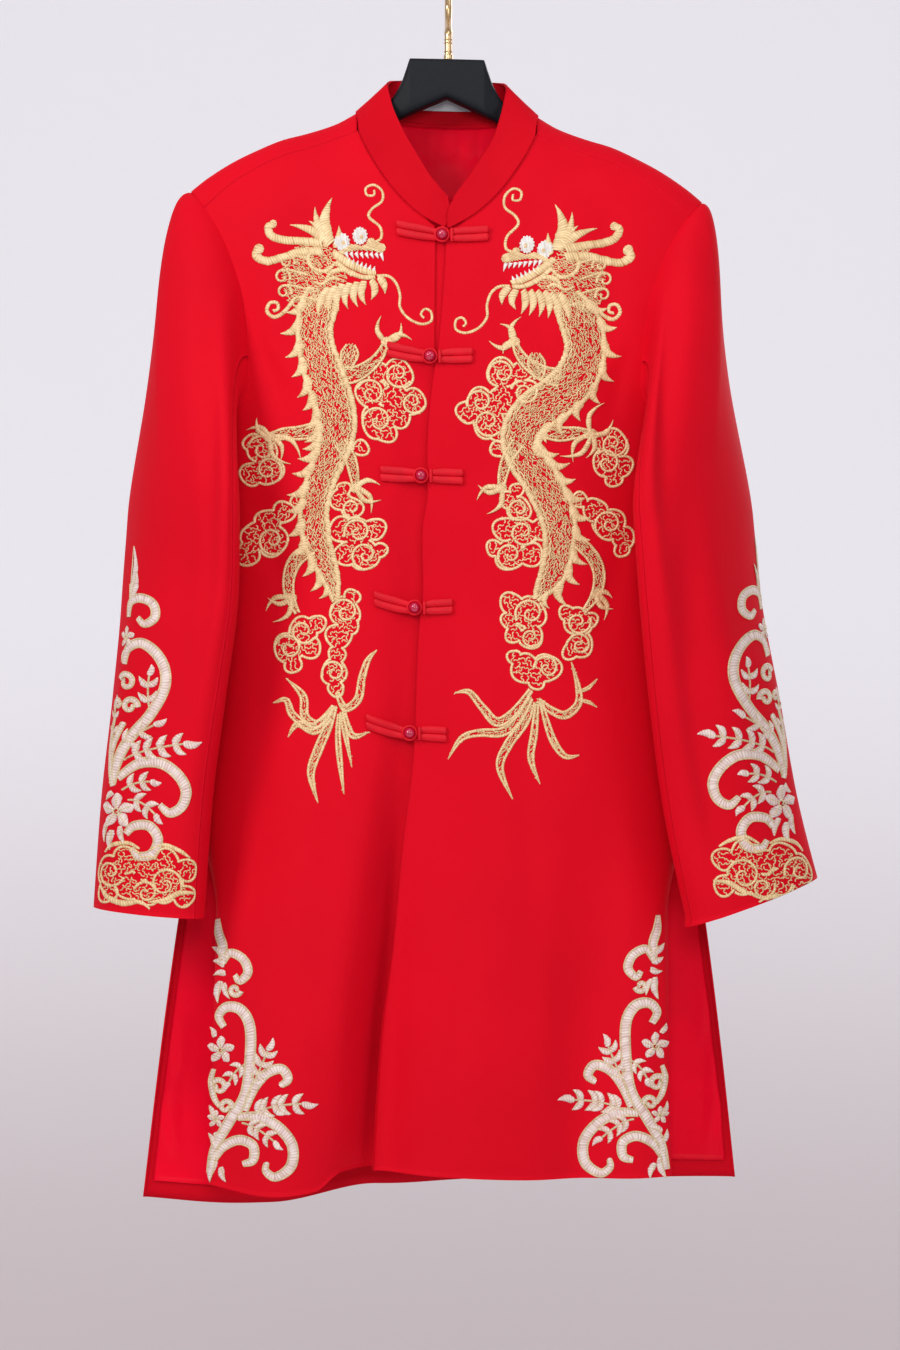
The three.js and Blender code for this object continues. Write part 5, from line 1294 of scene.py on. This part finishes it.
# ---- Lace ----------------------------------------------------------------------------------------
# A drawing is scrolls (u, v, width), leaves (base, tip, width), flowers (middle, radius) and
# sprigs (root, bend, tip, pairs of leaves, leaf length).
SLEEVE_LACE = {
    "scrolls": [[(126, 617, 5), (128, 603, 8), (140, 598, 9), (153, 604, 9), (155, 617, 9), (145, 624, 7),
                 (138, 618, 4)],
                [(123, 664, 6), (127, 649, 9), (141, 643, 10), (156, 653, 11), (165, 670, 11),
                 (164, 690, 11), (150, 715, 11), (130, 738, 11), (118, 760, 10), (112, 784, 7)],
                curl(126, 682, 9, 200, 1.15, 5.5, 3), curl(130, 706, 8, 10, -1.15, 5.5, 3),
                curl(116, 704, 6, 120, 1.1, 4.5, 3),
                [(118, 778, 7), (138, 764, 10), (160, 763, 11), (177, 774, 11), (186, 790, 11),
                 (182, 806, 10), (170, 813, 9), (160, 805, 5)],
                [(126, 834, 6), (134, 826, 9), (149, 826, 10), (158, 839, 10), (152, 854, 10),
                 (138, 856, 8), (132, 848, 4)],
                [(113, 716, 3), (108, 735, 5), (108, 756, 5), (112, 780, 4)],
                [(113, 786, 5), (109, 766, 5), (113, 744, 6), (124, 722, 5)]],
    "leaves": [((128, 592), (130, 546), 9), ((129, 598), (136, 572), 8), ((128, 606), (126, 584), 6),
               ((123, 650), (118, 662), 7), ((113, 792), (105, 800), 8),
               ((112, 830), (110, 850), 10), ((120, 826), (125, 844), 8), ((106, 822), (103, 842), 8)],
    "flowers": [((124, 637), 11), ((117, 811), 18)],
    "sprigs": [((124, 760), (140, 748), (193, 743), 4, 15), ((150, 712), (146, 690), (150, 672), 2, 13),
               ((120, 746), (128, 738), (160, 722), 2, 13), ((122, 790), (136, 780), (154, 782), 2, 13),
               ((128, 800), (142, 798), (158, 818), 2, 13), ((111, 742), (110, 724), (113, 700), 2, 9)],
}
HEM_LACE = {
    "scrolls": [[(216, 934, 3), (217, 948, 8), (221, 962, 9), (220, 976, 6)],
                [(221, 978, 5), (228, 968, 8), (241, 974, 9), (246, 987, 9), (238, 996, 7),
                 (233, 990, 4)],
                curl(233, 1005, 6, 10, 1.1, 4.5, 3),
                [(222, 1042, 6), (217, 1031, 8), (225, 1022, 10), (239, 1025, 11), (248, 1042, 11),
                 (248, 1075, 11), (243, 1110, 11), (227, 1137, 11), (213, 1163, 9), (208, 1188, 7)],
                [(243, 1126, 6), (252, 1104, 9), (264, 1089, 10), (279, 1084, 10), (286, 1094, 9),
                 (278, 1101, 5)],
                [(236, 1132, 7), (256, 1132, 10), (276, 1142, 11), (290, 1160, 11), (289, 1181, 11),
                 (274, 1192, 9), (264, 1186, 7), (265, 1177, 4)],
                [(209, 1180, 6), (220, 1163, 9), (237, 1155, 10), (251, 1161, 10), (251, 1175, 9),
                 (241, 1179, 5)],
                curl(217, 1102, 8, 200, 1.1, 5, 3), curl(224, 1122, 7, 10, -1.1, 4.5, 3),
                [(212, 1084, 3), (209, 1096, 5), (212, 1112, 5), (218, 1122, 3)]],
    "leaves": [((222, 972), (210, 962), 9), ((223, 980), (211, 976), 9), ((224, 988), (212, 990), 8),
               ((219, 996), (216, 1018), 9), ((222, 998), (228, 1014), 7), ((214, 1176), (208, 1197), 9),
               ((219, 1182), (224, 1197), 8), ((212, 1150), (226, 1146), 8),
               ((212, 1162), (207, 1148), 7), ((213, 1052), (208, 1042), 7),
               ((211, 1132), (207, 1120), 6)],
    "flowers": [((219, 1065), 14), ((214, 1134), 9)],
    "sprigs": [((247, 1108), (256, 1090), (268, 1060), 4, 13),
               ((244, 1134), (262, 1118), (308, 1119), 5, 14),
               ((240, 1138), (254, 1140), (276, 1160), 3, 12),
               ((246, 1078), (232, 1084), (226, 1100), 2, 11)],
}


def sprig(ivory, cord, root, bend, tip, pairs, length):
    """A stem with pairs of leaves and one at its tip."""
    t = np.linspace(0, 1, 12)[:, None]
    p = (1 - t)**2 * np.array(root) + 2 * t * (1 - t) * np.array(bend) + t**2 * np.array(tip)
    cord.satin(np.column_stack([p, np.full(12, 2.2)]), 0.9, 1.2, 0.15, across=(-1, 0, 1))
    along, aside = sides(p)
    for k in range(pairs):
        i = int(3 + 8 * k / pairs)
        for sign in (1, -1):
            end = p[i] + length * (0.68 * along[i] + 0.72 * sign * aside[i])
            ivory.leaf(p[i], end, length * 0.52, 0.14 * sign, 0.8, 0.2)
            cord.satin([(*p[i], 1.4), (*((p[i] + end) / 2), 1.3), (*end, 0.7)], 0.9, 1.2, 0.6)
    ivory.leaf(p[-2], p[-1] + along[-1] * length * 0.6, length * 0.55, 0.1, 0.8, 0.2)


def lace(name, drawing, node, place, turned):
    ivory, cord = Stitches(), Stitches()

    def t(points):
        return [turned(*p) for p in points]
    for points in drawing["scrolls"]:
        q = smooth_path(t(points), 1.0)
        q[:, 2] *= 0.84
        _, aside = sides(q)
        ivory.satin(q, 0.6, 1.45, 0.1, 0.15, 0.45)
        for sign in (1, -1):
            edge = q[:, :2] + sign * aside * (q[:, 2:] / 2)
            cord.satin(np.column_stack([edge, np.full(len(q), 2.0)])[::2], 1.1, 1.2, 0.15, 0.6, 0.3,
                       (-1, -0.5, 0.5, 1))
    for base, tip, width in drawing["leaves"]:
        base, tip = t([base])[0], t([tip])[0]
        ivory.leaf(base, tip, width * 0.85, 0.1, 0.7, 0.2)
        ridge_at = [(*base, 1.5), ((base[0] + tip[0]) / 2, (base[1] + tip[1]) / 2, 1.5), (*tip, 0.8)]
        cord.satin(ridge_at, 1.0, 1.0, 0.55)
    for (u, v), radius in drawing["flowers"]:
        u, v = t([(u, v)])[0]
        for k in range(5):
            a = math.radians(72 * k - 90)
            petal = [(u + radius * f * math.cos(a), v + radius * f * math.sin(a), w * radius)
                     for f, w in ((0.15, 0.16), (0.4, 0.5), (0.65, 0.6), (0.88, 0.36), (1.0, 0.08))]
            ivory.satin(petal, 0.9, 1.2, 0.3)
            vein = [(*petal[0][:2], 1.2), (*petal[2][:2], 1.4), (*petal[3][:2], 0.8)]
            cord.satin(vein, 0.9, 1.2, 0.95)
        cord.satin(curl(u, v, radius * 0.26, 0, 1.3, 2.0, 1.6), 1.2, 0.8, 0.5)
    for root, bend, tip, pairs, length in drawing["sprigs"]:
        sprig(ivory, cord, *(t([p])[0] for p in (root, bend, tip)), pairs, length)
    body_piece = ivory.make(f"{name}_lace", place, IVORY, "lace")
    cord.make(f"{name}_lace_cord", place, CHAMPAGNE, "lace")
    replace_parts(body_piece, node)


lace("right_sleeve", SLEEVE_LACE, "lace_sleeve_right", on_sleeve("right"), unturned)
lace("left_sleeve", SLEEVE_LACE, "lace_sleeve_left", on_sleeve("left"),
     lambda u, v, *w: (899 - u, v - 8, *w))
lace("right_hem", HEM_LACE, "lace_hem_right", on_front(-1), lambda u, v, *w: (u + 2, v - 15, *w))
lace("left_hem", HEM_LACE, "lace_hem_left", on_front(1), lambda u, v, *w: (874 - u, v - 19, *w))

# ---- Frogs: doubled satin cord, a loop and a wrapped pearl button ----------------------------------
FROGS = table("x down loop_x loop_down knob_x knob_down",
              (-3.8, 245.7, -45.3, 239.4, 38.7, 243), (-13.9, 356.5, -52.8, 350, 25, 355),
              (-21.2, 464, -58.2, 462, 17.2, 465), (-26.3, 582.6, -63.1, 573.5, 8.4, 581),
              (-30, 695.5, -69.5, 684, 3.7, 697))
BUTTON_RADIUS, LOOP_RADIUS, LOOP_CORD = 4.7, 6.1, 1.3


def seat(x, down):
    """Just before the foremost cloth near a place, so that a cord bridges the opening's step."""
    near = []
    for dx in (-6, 0, 6):
        for dz in (-8, 0, 8):
            left = x + dx >= curve(OPENING, "down", "over", down + dz)
            depth = front_depth if left else right_front_depth
            near.append(float(depth(x + dx, down + dz)))
    p = hang(x, 0, down)
    p[1] = min(near) - 0.45
    return p


def tube(path, radius, sides_count=12, closed=False):
    """A round tube on a path of points, its radius given once or for each."""
    path = np.asarray(path, float)
    along = np.gradient(path, axis=0) if not closed else np.roll(path, -1, 0) - np.roll(path, 1, 0)
    along /= np.linalg.norm(along, axis=1, keepdims=True)
    across = np.cross(along, np.eye(3)[np.abs(along).max(axis=0).argmin()])
    across /= np.linalg.norm(across, axis=1, keepdims=True)
    other = np.cross(along, across)
    angle = np.linspace(0, 2 * np.pi, sides_count, endpoint=False)[None, :, None]
    ring = across[:, None] * np.cos(angle) + other[:, None] * np.sin(angle)
    verts = path[:, None] + ring * np.broadcast_to(radius, (len(path),))[:, None, None]
    rows = len(path)
    if closed:
        verts = np.concatenate([verts, verts[:1]])
        rows += 1
    faces = grid_faces(rows, sides_count, True)
    if not closed:
        for end, points in ((0, verts[0]), (rows - 1, verts[-1])):
            verts = np.concatenate([verts.reshape(-1, 3), points.mean(0)[None]])
            centre = len(verts) - 1
            ids = end * sides_count + np.arange(sides_count)
            cap = np.stack([ids, np.roll(ids, -1), np.full(sides_count, centre),
                            np.full(sides_count, centre)], -1)
            faces = np.concatenate([faces, cap])
    return verts.reshape(-1, 3), faces


def joined(name, parts, material_):
    obj = new_object(name, *merged(parts), material_)
    return obj


def strip(outer, inner, inner_seat):
    """Doubled cord: two padded rolls with a groove, a folded outer end and a sewn edge."""
    t = np.linspace(0, 1, 34)
    middle = []
    for s in t:
        p = seat(lerp(outer[0], inner[0], s), lerp(outer[1], inner[1], s**0.8))
        p[1] = lerp(p[1], inner_seat[1], float(ease(0.5, 0.95, s)))
        middle.append(p)
    middle = np.array(middle)
    for _ in range(3):
        middle[1:-1, 1] = (middle[:-2, 1] + middle[1:-1, 1] * 2 + middle[2:, 1]) / 4
    narrow = 1 - 0.16 * ease(0.6, 1, t)
    round_end = np.sqrt(np.clip(1 - (1 - t / 0.05).clip(0) ** 2, 0.05, 1))
    parts = []
    angle = np.linspace(0, 2 * np.pi, 16, endpoint=False)
    for lane in (-1, 1):
        pucker = 1 + 0.035 * np.sin(t * 46 + lane) + 0.02 * rng.standard_normal(len(t))
        half_w, half_h = 3.5 * narrow * round_end, 1.75 * pucker * round_end
        c = middle + np.stack([0 * t, -1.35 + 0 * t, lane * 3.52 * narrow], -1)
        verts = c[:, None] + np.stack([np.zeros((len(t), 16)), -np.sin(angle) * half_h[:, None],
                                       np.cos(angle) * half_w[:, None]], -1)
        parts.append((verts.reshape(-1, 3), grid_faces(len(t), 16, True)))
    return parts


def frog(number, x, down, loop_x, loop_down, knob_x, knob_down):
    at = seat(x, down)
    angle = np.linspace(0, 2 * np.pi, 40, endpoint=False)
    ring = at + np.stack([LOOP_RADIUS * np.cos(angle), -LOOP_CORD - 1.15 + 0 * angle,
                          LOOP_RADIUS * np.sin(angle)], -1)
    loop = strip((loop_x, loop_down), (x - LOOP_RADIUS + 0.6, down), at)
    loop.append(tube(ring, LOOP_CORD, 12, True))
    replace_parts(joined(f"frog_{number}_loop_cord", loop, FROG), f"frog_{number}_loop")
    knob = strip((knob_x, knob_down), (x + LOOP_RADIUS + LOOP_CORD + 0.5, down), at)
    bar_x = x + LOOP_RADIUS + LOOP_CORD + 1.5
    bar = [seat(bar_x, down) + np.array([0, -3.2, z]) for z in np.linspace(-6.2, 6.2, 9)]
    knob.append(tube(bar, 1.7 * np.sqrt(1 - 0.75 * np.linspace(-1, 1, 9) ** 4), 12))
    shank = [at + np.array([dx, -0.9, 0]) for dx in np.linspace(0, LOOP_RADIUS + 3, 5)]
    knob.append(tube(shank, 0.8, 8))
    piece = joined(f"frog_{number}_knob_cord", knob, FROG)
    rise, round_ = np.meshgrid(np.linspace(0, np.pi, 18), np.linspace(0, 2 * np.pi, 32, endpoint=False),
                               indexing="ij")
    ball = at + np.array([0, -BUTTON_RADIUS + 0.2, 0]) + BUTTON_RADIUS * np.stack(
        [np.sin(rise) * np.cos(round_), -np.cos(rise), np.sin(rise) * np.sin(round_)], -1)
    joined(f"frog_{number}_button", [(ball.reshape(-1, 3), grid_faces(18, 32, True))], PEARL)
    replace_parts(piece, f"frog_{number}_knob")


for number, row in enumerate(zip(*FROGS.values()), 1):
    frog(number, *(float(value) for value in row))

# ---- Blank woven label, hanger and hook ------------------------------------------------------------
label_x, label_down = np.meshgrid(np.linspace(-24, 24, 40), np.linspace(98, 121, 22))
label_grid = hang(label_x + 1, 24.5 + (label_down - 93) * 0.09 - 3.4 - label_x**2 * 0.0032
                  - 0.25 * np.cos(label_x / 24 * np.pi * 1.5), label_down)
panel("label_cloth", label_grid, 0.6, LABEL, facing(1, -1), "label", ("collar_band",))
HANGER_FORM = table("x top under half y square",
                    (0, 78, 114, 11, 0, 5), (17, 78, 121.5, 11, 0, 5), (33.5, 78, 129.2, 11, 0, 5),
                    (37.5, 88, 131, 10.5, 1, 5), (42, 100, 133, 9.5, 2, 4), (51.5, 115, 137.5, 8, 4, 3),
                    (66, 126, 144, 8, 4, 2.4), (84, 135.5, 156, 9, 2, 2.2),
                    (128, 154.5, 175, 11, 0, 2.2), (172, 170.5, 192, 11, 0, 2.2),
                    (196, 183, 204, 10, 1, 2.2), (208, 192, 209, 7, 2, 2.2), (214, 199, 207, 4, 2, 2.2))


def hanger_rings():
    x = np.concatenate([np.linspace(0, 32, 12), np.linspace(33, 44, 14), np.linspace(47, 214, 60)])
    x = np.concatenate([-x[:0:-1], x])[:, None]
    form = {key: curve(HANGER_FORM, "x", key, np.abs(x))
            for key in ("top", "under", "half", "y", "square")}
    angle = np.linspace(0, 2 * np.pi, 48, endpoint=False)[None, :]
    power = 2 / form["square"]
    across = np.sign(np.cos(angle)) * np.abs(np.cos(angle)) ** power
    upward = np.sign(np.sin(angle)) * np.abs(np.sin(angle)) ** power
    down = (form["top"] + form["under"]) / 2 - (form["under"] - form["top"]) / 2 * upward
    return hang(x + 0 * angle, form["y"] + form["half"] * across, down)


def capped(rings):
    rows, cols = rings.shape[:2]
    verts = np.concatenate([rings.reshape(-1, 3), rings[:1].mean(1), rings[-1:].mean(1)])
    faces = [grid_faces(rows, cols, True)]
    for first, centre, turn in ((0, rows * cols, 1), ((rows - 1) * cols, rows * cols + 1, -1)):
        ids = first + np.arange(cols)
        middle = np.full(cols, centre)
        faces.append(np.stack([ids, np.roll(ids, -turn), middle, middle], -1))
    return verts, np.concatenate(faces)


hanger_piece = joined("hanger_bar", [capped(hanger_rings())], HANGER)
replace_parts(hanger_piece, "hanger")
HOOK_FORM = table("y z r",
                  (0, -77.5, 4.2), (0, -73.6, 4.2), (0, -73.2, 3.3), (0, -58, 3.3), (1.2, -53.4, 3.8),
                  (5, -49, 3.3), (13, -44, 3.3), (21, -36, 3.3), (25, -25, 3.3), (23, -12, 3.3),
                  (15, -1.8, 3.3), (7, 2.4, 3.3), (0, 3.3, 3.3), (-8, 2, 3.3), (-16, -3.2, 3.3),
                  (-22.5, -12, 3.3), (-25, -23, 3.3), (-23.5, -33, 2.8))
hook_steps = np.linspace(0, 17, 170)
straight, rows = hook_steps < 3, np.arange(18)
hook_path = np.stack([1.2 + 0 * hook_steps] + [
    np.where(straight, np.interp(hook_steps, rows, HOOK_FORM[key]), catmull(HOOK_FORM[key], hook_steps))
    for key in ("y", "z")], -1)
hook_parts = [tube(hook_path, np.interp(hook_steps, rows, HOOK_FORM["r"]), 24)]
for z in (-59.5, -62.5, -70.5):
    ring_at = np.linspace(0, 2 * np.pi, 32, endpoint=False)
    circle = np.stack([1.2 + 3.3 * np.cos(ring_at), 3.3 * np.sin(ring_at), z + 0 * ring_at], -1)
    hook_parts.append(tube(circle, 0.7, 10, True))
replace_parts(joined("hook_wire", hook_parts, HOOK), "hook")


# ---- The cut of each cloth panel -------------------------------------------------------------------
def cut_of(grids):
    """Width, length and area, in metres, of the cloth that a panel's grids cover."""
    widths, lengths, area = [], [], 0.0
    for g in grids:
        across, downward = np.diff(g, axis=1), np.diff(g, axis=0)
        widths.append(np.linalg.norm(across, axis=-1).sum(1).max())
        lengths.append(np.linalg.norm(downward, axis=-1).sum(0).max())
        area += np.linalg.norm(np.cross(across[:-1], downward[:, :-1]), axis=-1).sum()
    return max(widths) / 1000, (lengths[0] + max([0] + lengths[1:])) / 1000, area / 1e6


for obj, grids, held, rests_on in SHEETS:
    width, length, area = cut_of(grids)
    min(area, width * length)

# ---- Camera, light and surroundings -----------------------------------------------------------
CAMERA = Vector((EYE_X, PLANE - DISTANCE, EYE_Z))
cam = bpy.data.objects.new("camera", bpy.data.cameras.new("camera"))
scene.collection.objects.link(cam)
cam.location = CAMERA / 1000
cam.rotation_euler = (math.pi / 2, 0, 0)
cam.data.sensor_width = 36
cam.data.lens = 36 * DISTANCE / (FRAME_HEIGHT * SCALE)
scene.camera = cam


def stage_plane(name, size, location, rotation, color, glow, low=None):
    bpy.ops.mesh.primitive_plane_add(size=size, location=location, rotation=rotation)
    obj = bpy.context.object
    obj.name = name
    m = material(name, color, 0.85, Emission_Color=(*color, 1), Emission_Strength=glow)
    if low is None:
        mottle(m, color, 0.985, 1.01, 2.0)
    else:
        coord, split = add(m, "ShaderNodeTexCoord"), add(m, "ShaderNodeSeparateXYZ")
        # The colour and glow darken from `color` to `low` towards the foot of the wall: painted shade.
        height = add(m, "ShaderNodeMapRange", interpolation_type="SMOOTHSTEP")
        height.inputs["From Min"].default_value, height.inputs["From Max"].default_value = -3.8, -1.9
        ramp = add(m, "ShaderNodeValToRGB")
        ramp.color_ramp.elements[0].color, ramp.color_ramp.elements[1].color = (*low, 1), (*color, 1)
        link(m, coord, "Object", split, "Vector")
        link(m, split, "Y", height, "Value")
        link(m, height, "Result", ramp, "Fac")
        for socket in ("Base Color", "Emission Color"):
            link(m, ramp, "Color", m.node_tree.nodes["Principled BSDF"], socket)
    obj.data.materials.append(m)


stage_plane("floor", 18, (0, 0, -2.6), (0, 0, 0), (0.74, 0.72, 0.75), 0.1)
# The wall is painted darker towards the floor: painted shade.
stage_plane("wall", 18, (0, 4.6, 1.5), (math.pi / 2, 0, 0), (0.76, 0.74, 0.775), 0.46, (0.52, 0.46, 0.47))


def area_light(name, location, target, size, power, color=(1, 1, 1)):
    data = bpy.data.lights.new(name, "AREA")
    data.shape, data.size, data.energy, data.color = "DISK", size, power, color
    obj = bpy.data.objects.new(name, data)
    scene.collection.objects.link(obj)
    obj.location = location
    obj.visible_camera = False
    obj.rotation_euler = (Vector(target) - Vector(location)).to_track_quat("-Z", "Y").to_euler()


area_light("key", (-2.1, -2.2, 0.9), (0, 0, -0.6), 1.1, 47, (1.0, 0.99, 0.97))
area_light("fill", (2.3, -2.2, -0.1), (0, 0, -0.7), 2.0, 14)
area_light("front", (0.0, -3.2, 0.05), (0, 0, -0.2), 0.8, 21)
area_light("top", (0.1, -1.3, 1.3), (0, 0, -0.3), 1.1, 9)
area_light("rear", (1.7, 2.5, 0.7), (0, 0, -0.6), 1.6, 22)
world = bpy.data.worlds.new("studio") if scene.world is None else scene.world
scene.world = world
world.use_nodes = True
world.node_tree.nodes["Background"].inputs["Color"].default_value = (0.96, 0.96, 1.0, 1)
world.node_tree.nodes["Background"].inputs["Strength"].default_value = 0.42
scene.view_settings.view_transform = "Standard"
